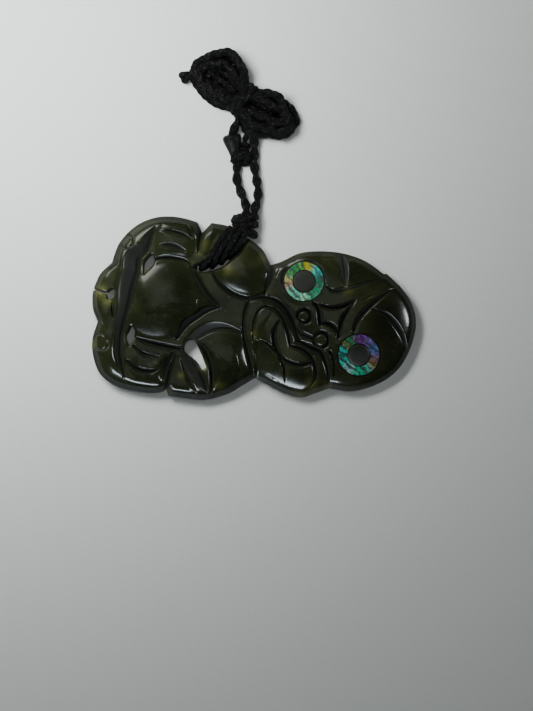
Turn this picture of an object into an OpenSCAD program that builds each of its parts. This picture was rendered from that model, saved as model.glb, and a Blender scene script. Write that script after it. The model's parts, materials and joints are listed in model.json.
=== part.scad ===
// Hei tiki pendant of polished greenstone with shell eyes, on a plaited cord that is wound into a hank.
// The carving is drawn on a square grid, x to the right and y downwards, with the figure lying on its side.
// Each drawing table is in grid steps and each height is in mm above the flat back.

/* [Stone] */
// Length of the tiki from its feet to the crown of its head
tiki_length = 81.4; // [70:0.2:95]
// Height of the belly, the thickest place
belly_top = 7.6; // [7:0.1:8.5]
// Height of the two shoulders
shoulder_top = 7.0; // [6.5:0.1:7.6]
// Height of the crown of the head
head_top = 6.9; // [6.4:0.1:7.4]
// Height of the plain ground between the limbs
ground_top = 5.6; // [5.2:0.1:6]
// Height at which the side walls begin to round over
side_wall = 2.9; // [2.2:0.1:3.4]
// Width of the small bevel round the back
back_bevel = 0.35; // [0.2:0.05:0.5]

/* [Eyes] */
// Outer radius of the upper shell ring
eye_upper_r = 4.95; // [4.6:0.05:5.1]
// Outer radius of the lower shell ring
eye_lower_r = 5.15; // [4.8:0.05:5.3]
// Radius of the stone core that stands in each ring as the pupil
pupil_r = 2.7; // [2.4:0.05:2.9]
// Thickness of the shell
shell_t = 0.8; // [0.6:0.1:1]
// Width of the black bed beside the shell
bed_w = 0.3; // [0.2:0.05:0.4]
// Lean of the upper eye
eye_upper_lean = 10; // [6:1:14]
// Lean of the lower eye
eye_lower_lean = 8; // [4:1:12]

/* [Cord] */
// Thickness of the plaited neck cord
cord_d = 1.9; // [1.6:0.1:2.1]
// Thickness of one lashing strand
lash_d = 1.1; // [0.9:0.1:1.2]
// Height of the wound hank
hank_h = 5.6; // [4.5:0.1:6]

/* [Hidden] */

// The drawing grid: how many steps the figure is long, and the step that lies on the part's origin
grid_length = 325.4;
grid_x = 253.8;
grid_y = 307.8;
step = tiki_length / grid_length;
stone_max = 9;
// The plain ground ends under the neck
ground_end = 264;
fit_gap = 0.05;

// Closed outline of the stone: x, y, and 1 where the line has a corner
outline = [
    [93, 288.5, 0], [95, 283, 0], [100, 273, 0], [111.5, 262, 1], [113.5, 255, 0], [119, 242, 0],
    [129, 230.5, 0], [141, 222, 0], [155, 217, 0], [168, 215.8, 0], [182, 217.3, 0], [197, 221.5, 1],
    [202, 232.5, 1], [211.5, 222.3, 1], [227, 225.3, 0], [231.5, 229.5, 0], [240, 235.5, 0], [250, 239, 0],
    [263, 250, 0], [270.5, 265, 1], [283, 260.5, 0], [300, 252.7, 0], [318, 250.8, 0], [338, 252, 0],
    [356, 256.5, 0], [369, 262.5, 0],
    [384.5, 274, 1], [387, 273.5, 0], [400.5, 286, 1], [409.5, 298, 0], [415, 311, 0], [416.5, 325, 0],
    [413.5, 341, 0], [408, 355, 0], [399, 369, 0], [386, 380, 0], [368, 388, 0], [350, 391.5, 0],
    [329, 388.5, 1], [314, 393.8, 0], [302, 397.3, 0], [284, 393, 0], [263, 382.5, 0], [255, 378, 1],
    [241, 386.5, 0], [228, 394, 0], [205, 400, 0], [185, 398.5, 0], [168, 396, 1], [166, 389.5, 1],
    [160, 392.5, 0], [145, 392.8, 0], [122, 388.5, 0], [108, 382, 0], [98, 372, 0], [91.8, 353, 0],
    [91.8, 338, 0], [97, 321.5, 1], [92.5, 310, 0], [91.5, 297, 0]];

// Holes cut right through: the toe slit, three openings between the limbs and the cord hole
toe_slit = [
    [90, 287.9, 1], [99, 289.6, 0], [107, 292.2, 1], [110, 290, 0], [113, 288.5, 0], [115, 291, 0],
    [113.5, 297, 0], [110, 299.5, 0], [107.2, 298.5, 0], [106, 293.8, 1], [98, 291, 0], [90, 289.4, 1]];
knee_hole = [
    [152.5, 254, 0], [154.5, 262, 0], [150, 268, 0], [143.3, 274.3, 1], [143.8, 264, 0], [147, 258.5, 0]];
shin_hole = [
    [131.5, 326, 0], [135, 330, 0], [134, 338, 0], [128.7, 346.5, 1], [125.5, 338, 0], [128, 332, 0]];
arm_hole = [
    [186, 341.5, 0], [193.5, 340, 0], [199.5, 350, 0], [206.5, 367.5, 1], [202, 370, 0], [196, 361, 0],
    [184.3, 351.5, 0]];
cord_hole = [
    [197, 265.5, 0], [206, 262.5, 0], [215, 258, 0], [227, 249.5, 0], [236, 250, 0], [229, 260.5, 0],
    [219, 268, 0], [207, 271, 0], [198, 271, 0]];
holes = [toe_slit, knee_hole, shin_hole, arm_hole, cord_hole];

// Two large rounded shells that bring the stone down to its side walls: x, y
body_shell = [
    [88, 290], [96, 268], [110, 246], [130, 226], [155, 213], [185, 212], [212, 217], [245, 228],
    [268, 250], [300, 300], [270, 345], [258, 382], [236, 394], [206, 404], [165, 400], [125, 393],
    [98, 378], [87, 350], [88, 320]];
head_shell = [
    [262, 262], [282, 256], [300, 248.5], [318, 247], [340, 248.5], [372, 261], [394, 274], [411, 292],
    [420, 318], [418, 338], [408, 362], [390, 381], [366, 393], [345, 395.5], [326, 394], [302, 401.5],
    [280, 396], [256, 382], [240, 340], [244, 296]];
shells = [
    [[178, 306], side_wall, 8.2, 5, body_shell],
    [[330, 324], side_wall, 7.2, 4, head_shell]];

// Rounded forms that stand on the ground, and the shells above: centre x and y, foot height, top height,
// bluntness, outline
belly = [[138, 275], [148, 265], [160, 259], [176, 258], [190, 264], [202, 279], [219.5, 306.5],
    [204, 315], [188, 328], [172, 339], [156, 341], [140, 338], [130, 330], [127, 318], [131, 294]];
shoulder_upper = [[211, 270], [222, 258], [236, 243], [250, 234], [262, 246], [272, 258], [274, 268],
    [272, 280], [265, 293], [252, 299], [238, 296.5], [222, 288]];
shoulder_lower = [[197, 341], [207, 333], [220, 328.5], [238, 330], [247, 340], [251, 358],
    [256, 378], [244, 388], [226, 398], [210, 403], [212, 386], [211, 366], [205, 352]];
thigh_upper = [[154, 228], [162, 213], [182, 213], [198, 218], [203, 234], [198, 250], [192, 260],
    [176, 259], [158, 259], [151, 250]];
thigh_lower = [[133, 345], [150, 346], [172, 349], [170, 362], [164, 376], [166, 392], [150, 397],
    [134, 394], [124, 378], [126, 358]];
mouth = [[247, 303], [256, 296], [270, 294], [284, 302], [294, 318], [301, 338], [318, 346],
    [329, 360], [332, 376], [330, 392], [304, 402], [280, 396], [254, 381], [247, 362], [242, 335.5]];
head = [[268, 268], [290, 254], [318, 247], [345, 248], [374, 260], [400, 278], [417, 302],
    [421, 326], [412, 356], [393, 379], [364, 394], [338, 396], [322, 388], [296, 360], [278, 330],
    [262, 300]];
forms = [
    [[164, 301], 5.2, belly_top, 2.2, belly],
    [[244, 271], 5.0, shoulder_top, 2.2, shoulder_upper],
    [[230, 363], 5.0, shoulder_top, 2.2, shoulder_lower],
    [[177, 239], 5.0, 6.5, 3, thigh_upper],
    [[150, 370], 4.8, 6.2, 3, thigh_lower],
    [[286, 350], 4.9, 6.5, 4, mouth],
    [[345, 322], 4.4, head_top, 2.4, head]];

// Limbs with a rounded back: x, y, half width, top height
leg = [
    [158, 224, 9, 6.1], [143, 233, 11, 6.4], [131, 249, 13, 6.6], [126, 268, 13, 6.6], [121, 290, 13, 6.4],
    [116, 312, 13, 6.2], [110, 332, 13, 6.2], [106, 350, 14, 6.4], [110, 368, 14, 6.4], [126, 380, 12, 6.2],
    [148, 385, 9, 6]];
toes = [[106, 276, 10, 5.7], [102, 284, 8, 5.4], [102, 304, 8, 5.4], [107, 313, 8, 5.65]];
forearm = [[181, 351, 7, 6], [190, 370, 12, 6.5], [199, 388, 13, 6.4], [204, 402, 13, 6]];
upper_arm = [[204, 250, 9, 5.9], [211, 230, 12, 6.1], [228, 224, 10, 6]];

// Gouge cuts: x, y, floor height, spread to the left and to the right of the cut in grid steps for each mm
// of rise. The left is the left hand of someone who follows the cut on the drawing.
cuts = [
    // Belly, upper and lower arm side, and the groove under the thigh
    [[191, 266, 5.2, 1.5, 3], [197, 274, 4.5, 1.5, 3], [204, 287, 4.4, 1.5, 3], [212, 298, 4.5, 1.5, 3],
        [220, 307, 5.0, 1.5, 2]],
    [[220, 307, 5.0, 1.5, 2], [208, 311, 4.63, 1.5, 3], [198, 317.3, 4.5, 1.5, 3.1],
        [187, 325.2, 4.4, 1.5, 3], [177, 338.2, 4.6, 1.5, 2.1]],
    [[149, 262, 4.5, 2, 2], [160, 258.5, 4.6, 2, 1.5], [174, 258.5, 4.74, 2, 1.5],
        [186, 261, 4.9, 2, 1.5], [192, 266, 5.4, 2, 1.5]],
    // Inner side of the legs
    [[157, 223, 5.74, 2, 3], [151, 236.7, 4.66, 2.2, 3.9], [146.4, 250, 4.19, 2.1, 5.1],
        [139, 258, 4.04, 2.2, 6], [138, 270, 4.1, 2, 6], [133, 285, 4.2, 2, 6], [129, 304, 4.2, 2, 5],
        [124, 322, 4.1, 2.5, 4], [120.5, 336, 4.1, 3, 3], [120, 356, 4.1, 3, 3], [124, 377, 5.2, 2, 2]],
    // Below the belly and across the lower thigh
    [[136, 338, 5.0, 2, 2], [147, 342, 4.3, 2, 2], [163, 346, 4.0, 2, 2], [185, 350, 4.4, 2, 2]],
    [[134, 346, 4.9, 2, 2], [143, 353.5, 4.7, 2, 2], [160, 356, 5.8, 1.5, 2]],
    [[127, 361, 4.7, 2, 2], [138, 369.5, 4.6, 2, 2], [150, 371.5, 5.0, 2, 2], [161, 369, 5.9, 2, 2]],
    // Creases that run to the lower notch
    [[174, 352, 4.7, 2, 2], [168, 363, 4.6, 2, 2.5], [163, 380, 5.2, 2, 2]],
    [[176, 353, 4.7, 2, 2], [170, 371, 4.7, 2, 2], [166, 391, 4.2, 2, 2]],
    // Thigh folds, and the crease to the upper notch
    [[159.8, 230.5, 5.82, 2.1, 3], [171.4, 231.3, 5.36, 2, 3.1], [183.7, 235, 5.41, 1.7, 2.9],
        [191.3, 239.3, 5.76, 1.9, 2]],
    [[160, 245, 5.7, 2, 3], [172.2, 245.5, 5.27, 2, 4.1], [185, 251.3, 5.64, 2, 3]],
    [[186.5, 221, 5.39, 1.9, 1.8], [189, 230.2, 5.48, 1.9, 2], [193, 238, 5.74, 2, 2]],
    [[202, 228.8, 3.56, 2, 2], [200, 240, 4.2, 2, 2], [198, 252, 4.8, 2, 2]],
    // Forearm, both sides
    [[184, 350, 4.0, 2, 4], [193, 362, 3.9, 2, 4], [203, 378, 4.1, 2, 4], [208, 396, 5.2, 2, 3]],
    [[181, 360, 5.2, 2, 3], [187, 377, 5.0, 2, 3], [200, 398, 5.4, 2, 3]],
    // Lower shoulder, left and top
    [[196, 341, 4.6, 2, 2], [206, 353, 4.2, 2, 2], [211, 367, 4.1, 2, 2], [212, 384, 4.3, 2, 2],
        [210, 400, 4.8, 2, 2]],
    [[189, 342, 4.6, 5, 2], [199, 336.5, 4.4, 7, 2], [211, 330.5, 4.4, 7, 2], [226, 328.5, 4.5, 4, 2],
        [245, 333.3, 5.21, 2.1, 1.9]],
    // Upper shoulder, and the valley that the lashing lies in
    [[211, 269, 5.0, 2, 2], [219, 283, 4.5, 2, 2], [233, 294, 4.5, 2, 2], [250, 298.5, 4.6, 2, 2],
        [266, 293, 4.8, 2, 2]],
    [[251, 232, 3.6, 2, 4], [243, 245, 3.44, 2, 4], [233, 254, 3.18, 1.9, 4], [220, 264, 3.0, 2, 3],
        [204, 268, 3.2, 2, 3], [189, 267, 5.2, 2, 2]],
    // Neck, and the gap between shoulder and head
    [[250, 299, 4.8, 2, 2], [245, 312, 4.73, 2, 2], [243.2, 330, 4.72, 2.1, 2], [248, 354, 4.5, 2, 2],
        [254.5, 380, 4.0, 2, 2]],
    [[273, 262, 3.6, 3, 3], [272, 275, 4.1, 3, 3], [264, 297, 4.8, 2, 2]],
    // Lips, outside and inside
    [[249, 301, 4.9, 2, 2], [260, 297.5, 4.4, 2, 2], [273.5, 299.8, 4.2, 2, 2.2],
        [286, 309.5, 4.07, 2.1, 2.2], [294, 324.5, 4, 2, 2.2], [299, 343, 4.8, 2, 2]],
    [[253, 341.3, 5.43, 1.5, 2], [253.3, 325, 5.17, 1.5, 2], [259, 310, 5.2, 1.5, 2],
        [267, 306.5, 5.2, 1.5, 2], [279, 313, 5.1, 1.5, 2], [287.2, 329, 5.07, 1.5, 2],
        [290.5, 347, 5.5, 1.5, 2]],
    [[253.2, 338, 5.42, 2.1, 1.4], [254.5, 354, 5.1, 2, 1.5], [262, 369.5, 4.9, 2, 1.5],
        [275, 379.5, 4.9, 2, 1.5], [286, 386, 5.2, 2, 1.5]],
    [[291, 346, 5.4, 1.5, 2], [304.4, 350.7, 4.8, 1.5, 2], [314, 362, 4.7, 1.5, 2],
        [316, 377.2, 4.74, 1.4, 2.1], [306, 393, 5.2, 1.5, 2]],
    [[297.3, 341.2, 4.74, 2, 2], [312, 348.5, 4.1, 2, 2], [322, 354, 4.3, 2, 2],
        [327.5, 369.8, 4.77, 1.9, 2], [329.5, 390.3, 4.28, 2, 2.2]],
    // Tongue and the lines beside it
    [[280, 320, 5.6, 1.5, 2], [274, 332, 5.0, 1.5, 2], [275.5, 347, 4.9, 1.5, 2], [285, 360, 4.9, 1.5, 2],
        [298, 365, 4.9, 1.5, 2], [313, 362, 5.4, 1.5, 2]],
    [[254, 337.7, 5.64, 1.5, 1.5], [265, 342.5, 5.26, 1.4, 1.5], [276, 352, 5.1, 1.5, 1.5]],
    [[278, 354, 5.1, 1.5, 1.5], [284, 368, 5.0, 1.5, 1.5], [285, 385, 5.2, 1.5, 1.5]],
    // Nose and the leaf between the brows
    [[310, 299.5, 5.6, 1.4, 1.5], [318, 308.3, 5.03, 1.5, 1.6], [320, 324, 5, 1.6, 1.5]],
    [[296, 321, 5.14, 2, 2.1], [300, 333, 4.42, 2, 2.6], [313, 339.2, 4.9, 2, 2]],
    [[321, 306, 5.53, 1.5, 1.6], [332, 308.3, 5, 1.5, 1.5], [344.8, 305.8, 5.03, 1.4, 1.5],
        [355, 300.5, 6, 1.5, 1.5]],
    [[354, 302, 6, 1.5, 1.5], [343, 318, 5.0, 1.5, 1.5], [338, 337, 5.4, 1.5, 1.5]],
    [[320.5, 323, 5.32, 1.5, 1.5], [330.3, 325, 4.93, 1.5, 2], [338, 332, 5, 1.5, 1.6]],
    // Eye rim, forehead wedge, brow and temple
    [[272, 286, 5.0, 2, 2], [281.2, 267, 4.8, 2, 2], [294.7, 257.7, 4.81, 1.8, 1.7],
        [312, 255.4, 5.39, 2.1, 2]],
    [[341, 249, 4.2, 4, 4], [344, 266, 4.9, 3, 3], [345.2, 289.7, 6.33, 2, 2]],
    [[324.2, 281.8, 6.04, 2, 1.4], [332, 291.3, 5.63, 3, 1.5], [347, 290.5, 5.48, 4, 1.5],
        [363.6, 284.8, 5.4, 3.9, 1.4], [387, 276.5, 4.9, 3, 1.5]],
    [[403, 284, 4.2, 2, 2], [389, 291.5, 4.88, 2.1, 1.9], [371, 305, 5.2, 2, 2], [358, 319.5, 5.4, 2, 2],
        [352.5, 334, 5.9, 2, 2]],
    [[373, 309.3, 5.9, 2, 2], [386.7, 316, 4.91, 2.9, 1.9], [398.1, 328.5, 4.3, 3.1, 1.9],
        [405, 341.7, 4, 3.1, 2.1], [410, 357, 3.6, 3, 2]],
    // Toe lines
    [[109.7, 269, 4.88, 2.1, 2.1], [116.4, 264.4, 5.34, 1.9, 1.9], [121.6, 262.2, 6.46, 1.9, 2]],
    [[93, 306, 4.2, 2, 2], [98, 316, 4.4, 2, 2], [104, 324, 5.6, 2, 2]],
    [[112, 303, 5.6, 1.5, 1.5], [112, 310, 5.0, 1.5, 1.5], [113.5, 317, 5.8, 1.5, 1.5]]];

// Ring cuts, at the knees and nostrils: x, y, radius, floor height, spread for each mm of rise
ring_cuts = [
    [101, 342, 8, 5.5, 2],
    [127, 241.4, 6.38, 5.6, 2],
    [304, 316.3, 6.5, 5, 1.5],
    [321, 340, 7.3, 5.1, 1.6]];

// Eye centres: x, y, and the height of the eye's face at its centre
eye_upper_at = [304, 281.5];
eye_lower_at = [358.7, 355];
eye_upper_z = 5.65;
eye_lower_z = 6.12;
// Which way each eye leans, in degrees from +X
eye_upper_way = 115;
eye_lower_way = -68;

// Seat in the back for the lashing: from the cord hole to the outer edge
seat_a = [220, 263];
seat_b = [247, 222];
seat_w = 7.2;
seat_t = 1.45;

// Lashing routes: x, y, height. Each strand runs from the collar over the stone, through the hole and back.
lash_over = [
    [[231, 226.8, 4.6], [227, 232, 6.1], [219.5, 241.5, 6.4], [213.5, 251, 6.45], [209.3, 259.3, 6.75],
        [207.4, 264.8, 5.2], [207.5, 266.8, 2.6], [209.5, 265, 1.1], [214, 257, 0.62], [222, 243, 0.6],
        [228, 232.5, 0.65], [231.7, 227.4, 1]],
    [[236, 227.7, 4], [232.3, 233, 6.05], [225.5, 242.5, 6.5], [220, 251.5, 6.4], [216.5, 258, 6.35],
        [215.3, 262, 4.75], [215.5, 264, 2.6], [217.5, 261, 1.1], [221, 254, 0.62], [228, 242, 0.6],
        [233.5, 232.8, 0.65], [236.6, 228.4, 1]],
    [[241, 228.8, 3.8], [238, 234, 5.8], [232, 243.5, 6.5], [227.5, 250.5, 6], [224.5, 255.5, 5.2],
        [223.3, 258.5, 4.2], [223.5, 259.8, 2.6], [225.5, 256.5, 1.1], [229, 250, 0.62], [234.5, 240.5, 0.6],
        [239, 233.5, 0.65], [241.6, 229.4, 1]],
    [[246, 229.5, 3.7], [244, 235.5, 5.25], [239.3, 243.5, 5.5], [235.3, 248.5, 5.15], [232.3, 251.4, 4.5],
        [231.2, 253, 3.7], [231.4, 253.6, 2.6], [233.4, 251.4, 0.85], [236.6, 246.5, 0.62], [241, 239, 0.6],
        [244.3, 233.5, 0.65], [246.6, 230.4, 1]]];

// Neck strands: x, y, height, from the collar to the toggle and to the hank
strand_left = [
    [245.8, 213.8, 2.5], [246, 208.5, 1.9], [245.4, 203, 1.3], [243, 197, 1.0], [240.5, 190.5, 0.98],
    [237.8, 183.5, 0.98], [236.2, 176, 0.98], [236.4, 168, 1.05], [237.2, 161.2, 1.2]];
strand_right = [
    [253.8, 213.8, 2.5], [255, 207.5, 1.9], [256.8, 201, 1.2], [257.8, 194, 0.98], [257.6, 186, 0.98],
    [256.3, 178, 0.98], [254.8, 170, 0.98], [254.4, 162, 0.98], [254.6, 154, 1.0], [255, 147.7, 1.1]];
lead = [[230.4, 130.6, 2.4], [231.8, 126, 2.3], [235.2, 120.8, 2.1]];

// Hank seen from above: x, y
hank_outline = [
    [190, 73], [191, 62], [203, 54.5], [219, 49.5], [232, 49], [240, 58], [245, 70], [252, 82], [264, 88],
    [278, 93.5], [290, 101.5], [298, 112], [300, 123], [296, 134], [284, 143], [270, 141.5], [258, 145.5],
    [250, 139], [241, 125], [231, 114], [218, 106], [206, 98], [196, 87]];

// Toggle: along its axis and radius, from the wide end to the narrow one
toggle_profile = [[0, 0], [0, 1.5], [0.35, 2.05], [0.9, 2.25], [1.6, 2.2], [2.6, 1.85], [3.8, 1.45],
    [5.2, 1.18], [6.75, 1.1], [7.0, 0.95], [7.0, 0]];
// Where the toggle's two ends lie: x, y, height
toggle_wide = [230.7, 133, 2.5];
toggle_narrow = [237.1, 160.3, 1.2];

// The two ends of the collar: x, y, height
collar_ends = [[237.3, 220.8, 2.4], [252.5, 222.3, 2.4]];
collar_h = 4;
collar_r = 1.5;
collar_round = 0.4;

// The lobes of the stop knot: x, y, radius
stop_lobes = [[245.3, 147.5, 1.1], [245.3, 155, 1.15], [245.5, 161.5, 1.0]];
stop_tail = 18.4;
tail_r = 0.75;

// The knot at the cord's end: x, y, height
end_at = [184, 74.5, 1.52];
end_r = 1.45;

// How far the hank's rounded edge reaches in and down
hank_round = 0.9;
hank_inset = 0.7;
rest_gap = 0.02;

// Where a point of the drawing lies on the part; columns after the first two stay as they are
function at(p) = [for (i = [0 : len(p) - 1])
    i == 0 ? (p[0] - grid_x) * step : i == 1 ? (grid_y - p[1]) * step : p[i]];
function at_all(rows) = [for (p = rows) at(p)];
function flat(p) = [p[0], p[1]];
function unit(v) = v / norm(v);
function gap(a, b) = norm(flat(b) - flat(a));

// A smooth curve through table rows: the slope at a row comes from the rows beside it
function slope(a, b, c, reach) = (c - a) / (gap(a, b) + gap(b, c)) * reach;
function blend(p, q, u, v, t) =
    p * (2 * t * t * t - 3 * t * t + 1) + u * (t * t * t - 2 * t * t + t)
    + q * (3 * t * t - 2 * t * t * t) + v * (t * t * t - t * t);
function round_curve(rows, parts) = let (n = len(rows)) [
    for (i = [0 : n - 1])
        let (a = rows[(i + n - 1) % n], p = rows[i], q = rows[(i + 1) % n], d = rows[(i + 2) % n])
        let (reach = gap(p, q))
        let (u = p[2] == 1 ? q - p : slope(a, p, q, reach), v = q[2] == 1 ? q - p : slope(p, q, d, reach))
        for (k = [0 : parts - 1]) flat(blend(p, q, u, v, k / parts))];
function open_curve(rows, parts) = let (n = len(rows)) concat([
    for (i = [0 : n - 2])
        let (p = rows[i], q = rows[i + 1], reach = gap(p, q))
        let (u = i == 0 ? q - p : slope(rows[i - 1], p, q, reach))
        let (v = i == n - 2 ? q - p : slope(p, q, rows[i + 2], reach))
        for (k = [0 : parts - 1]) blend(p, q, u, v, k / parts)], [rows[n - 1]]);

// A polygon moved inwards by d along its corners' bisectors; the polygon runs clockwise
function inset(points, d) = let (n = len(points)) [
    for (i = [0 : n - 1])
        let (a = points[(i + n - 1) % n], p = points[i], c = points[(i + 1) % n])
        let (u = unit(p - a), v = unit(c - p), m = unit([u[1] + v[1], -u[0] - v[0]]))
        p + m * d / max(0.5, m * [u[1], -u[0]])];

// A closed skin over rings of points that all have the same count
function ring_faces(rings, n) = concat(
    [[for (i = [0 : n - 1]) i]],
    [for (r = [0 : rings - 2]) for (i = [0 : n - 1])
        [r * n + i, (r + 1) * n + i, (r + 1) * n + (i + 1) % n, r * n + (i + 1) % n]],
    [[for (i = [n - 1 : -1 : 0]) (rings - 1) * n + i]]);
module skin(rings) {
    n = len(rings[0]);
    polyhedron([for (r = rings) each r], ring_faces(len(rings), n), 6);
}
function level(points, z) = [for (p = points) [p[0], p[1], z]];
function backwards(points) = [for (i = [len(points) - 1 : -1 : 0]) points[i]];

// A rounded form over an outline: its rings shrink to the centre while they rise
ring_steps = [1, 0.95, 0.86, 0.72, 0.52, 0.28];
module form(centre, foot, top, blunt, points) {
    c = flat(at(centre));
    edge = backwards(round_curve(at_all([for (p = points) [p[0], p[1], 0]]), 2));
    skin(concat(
        [level(edge, -1)],
        [for (s = ring_steps)
            level([for (p = edge) c + (p - c) * s], foot + (top - foot) * (1 - pow(s, blunt)))]));
}

// A limb: rounded buttons at each table row, joined one to the next
limb_foot = 3.4;
module button(p) {
    q = at(p);
    rise = q[3] - limb_foot;
    translate([q[0], q[1], 0])
        rotate_extrude($fn = 18)
            polygon([[0, 0], [q[2] * step, 0], for (s = [1, 0.9, 0.7, 0.4, 0])
                [q[2] * step * s, limb_foot + rise * (1 - s * s * s)]]);
}
module limb(rows) {
    for (i = [0 : len(rows) - 2])
        hull() {
            button(rows[i]);
            button(rows[i + 1]);
        }
}

// A gouge cut: wedges that follow the table's curve
cut_rise = 2.6;
function wedge(c, way) = let (l = [-way[1], way[0]]) [
    [c[0], c[1], c[2]],
    [c[0] + l[0] * c[3] * step * cut_rise, c[1] + l[1] * c[3] * step * cut_rise, c[2] + cut_rise],
    [c[0] - l[0] * c[4] * step * cut_rise, c[1] - l[1] * c[4] * step * cut_rise, c[2] + cut_rise]];
wedge_faces = [[0, 1, 2], [5, 4, 3], [0, 3, 4, 1], [1, 4, 5, 2], [2, 5, 3, 0]];
module gouge(rows) {
    line = open_curve(at_all(rows), 3);
    n = len(line);
    wedges = [for (i = [0 : n - 1])
        wedge(line[i], unit(flat(line[min(i + 1, n - 1)]) - flat(line[max(i - 1, 0)])))];
    for (i = [0 : n - 2])
        hull() polyhedron(concat(wedges[i], wedges[i + 1]), wedge_faces);
}
ring_rise = 1.6;
module ring_gouge(row) {
    q = at(row);
    r = q[2] * step;
    wide = q[4] * step * ring_rise;
    translate([q[0], q[1], 0])
        rotate_extrude($fn = 22)
            polygon([[r, q[3]], [r + wide, q[3] + ring_rise], [r - wide, q[3] + ring_rise]]);
}

// Puts its children on the face of an eye
module on_eye(centre, z, way, lean) {
    q = at(centre);
    translate([q[0], q[1], z])
        rotate([0, 0, way])
            rotate([0, lean, 0])
                children();
}
module eye_pocket(r) {
    bed_t = shell_t + bed_w;
    translate([0, 0, -bed_t])
        difference() {
            cylinder(h = bed_t + 3, r = r + bed_w + fit_gap, $fn = 46);
            translate([0, 0, -1])
                cylinder(h = bed_t + 1.05, r = pupil_r, $fn = 36);
        }
}
module shell_ring(r) {
    translate([0, 0, -shell_t])
        difference() {
            cylinder(h = shell_t, r = r, $fn = 60);
            translate([0, 0, -1])
                cylinder(h = shell_t + 2, r = pupil_r + fit_gap * 2 + bed_w / 2, $fn = 60);
        }
}
module shell_bed(r) {
    bed_t = shell_t + bed_w - fit_gap;
    inner = pupil_r + fit_gap;
    translate([0, 0, -bed_t])
        difference() {
            cylinder(h = bed_t - 0.05, r = r + bed_w, $fn = 60);
            translate([0, 0, -1])
                cylinder(h = bed_t + 2, r = inner, $fn = 60);
            translate([0, 0, bed_t - shell_t - fit_gap])
                difference() {
                    cylinder(h = shell_t + 2, r = r + fit_gap, $fn = 60);
                    translate([0, 0, -1])
                        cylinder(h = shell_t + 4, r = inner + bed_w / 2, $fn = 60);
                }
        }
}

// A cord: eight-sided rings swept along its route
function ring(p, way, side, r) = let (up = unit(cross(way, side)), across = cross(up, way)) [
    for (k = [0 : 7]) p + across * r * cos(k * 45 + 22.5) + up * r * sin(k * 45 + 22.5)];
module cord(route, r, parts, side) {
    line = open_curve(at_all(route), parts);
    n = len(line);
    rings = [for (i = [0 : n - 1])
        ring(line[i], unit(line[min(i + 1, n - 1)] - line[max(i - 1, 0)]), side, r)];
    polyhedron([for (q = rings) each q], ring_faces(n, 8), 6);
}

module tiki_body() {
    edge = round_curve(at_all(outline), 3);
    color([0.16, 0.18, 0.1])
        difference() {
            intersection() {
                skin([
                    level(backwards(inset(edge, back_bevel)), 0), level(backwards(edge), back_bevel),
                    level(backwards(edge), stone_max)]);
                union() {
                    for (f = shells)
                        form(f[0], f[1], f[2], f[3], f[4]);
                }
                union() {
                    translate([-tiki_length, -tiki_length / 2, -1])
                        cube([tiki_length + (ground_end - grid_x) * step, tiki_length, ground_top + 1]);
                    for (f = forms)
                        form(f[0], f[1], f[2], f[3], f[4]);
                    limb(leg);
                    limb(toes);
                    limb(forearm);
                    limb(upper_arm);
                }
            }
            for (h = holes)
                translate([0, 0, -1])
                    linear_extrude(height = stone_max + 2)
                        polygon(round_curve(at_all(h), 2));
            for (c = cuts)
                gouge(c);
            for (r = ring_cuts)
                ring_gouge(r);
            on_eye(eye_upper_at, eye_upper_z, eye_upper_way, eye_upper_lean)
                eye_pocket(eye_upper_r);
            on_eye(eye_lower_at, eye_lower_z, eye_lower_way, eye_lower_lean)
                eye_pocket(eye_lower_r);
            hull() {
                for (p = [seat_a, seat_b])
                    translate([at(p)[0], at(p)[1], -1])
                        cylinder(h = seat_t + 1, d = seat_w, $fn = 24);
            }
        }
}

module eye_ring_upper() {
    color([0.45, 0.8, 0.65])
        on_eye(eye_upper_at, eye_upper_z, eye_upper_way, eye_upper_lean)
            shell_ring(eye_upper_r);
}

module eye_ring_lower() {
    color([0.45, 0.65, 0.8])
        on_eye(eye_lower_at, eye_lower_z, eye_lower_way, eye_lower_lean)
            shell_ring(eye_lower_r);
}

module eye_bed_upper() {
    color([0.05, 0.05, 0.05])
        on_eye(eye_upper_at, eye_upper_z, eye_upper_way, eye_upper_lean)
            shell_bed(eye_upper_r);
}

module eye_bed_lower() {
    color([0.05, 0.05, 0.05])
        on_eye(eye_lower_at, eye_lower_z, eye_lower_way, eye_lower_lean)
            shell_bed(eye_lower_r);
}

module lashing(i) {
    color([0.1, 0.1, 0.11])
        cord(lash_over[i], lash_d / 2, 1, unit([0.86, -0.52, 0]));
}

// The collar that gathers the lashing and the neck strands beside the stone's edge
module collar() {
    color([0.08, 0.08, 0.09])
        hull() {
            for (p = at_all(collar_ends))
                translate(p) {
                    cylinder(h = collar_h, r = collar_r - collar_round, center = true, $fn = 24);
                    cylinder(h = collar_h - 2 * collar_round, r = collar_r, center = true, $fn = 24);
                }
        }
}

module neck_strand_left() {
    color([0.1, 0.1, 0.11])
        cord(strand_left, cord_d / 2, 1, [0, 0, 1]);
}

module neck_strand_right() {
    color([0.1, 0.1, 0.11])
        cord(strand_right, cord_d / 2, 1, [0, 0, 1]);
}

module toggle_lead() {
    color([0.1, 0.1, 0.11])
        cord(lead, cord_d / 2, 1, [0, 0, 1]);
}

module toggle() {
    a = at(toggle_wide);
    way = at(toggle_narrow) - a;
    color([0.2, 0.2, 0.21])
        translate(a)
            rotate([0, acos(way[2] / norm(way)), atan2(way[1], way[0])])
                rotate_extrude($fn = 40)
                    polygon([for (p = toggle_profile) [p[1], p[0]]]);
}

// A double knot on a short tail of the cord
module stop_knot() {
    color([0.08, 0.08, 0.09])
        union() {
            for (p = stop_lobes)
                translate(at(p) + [0, 0, rest_gap])
                    sphere(r = p[2], $fn = 28);
            translate(at(stop_lobes[1]) - [0, 0, 0.1])
                rotate([-90, 0, 0])
                    cylinder(h = stop_tail * step, r = tail_r, $fn = 20);
        }
}

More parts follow.
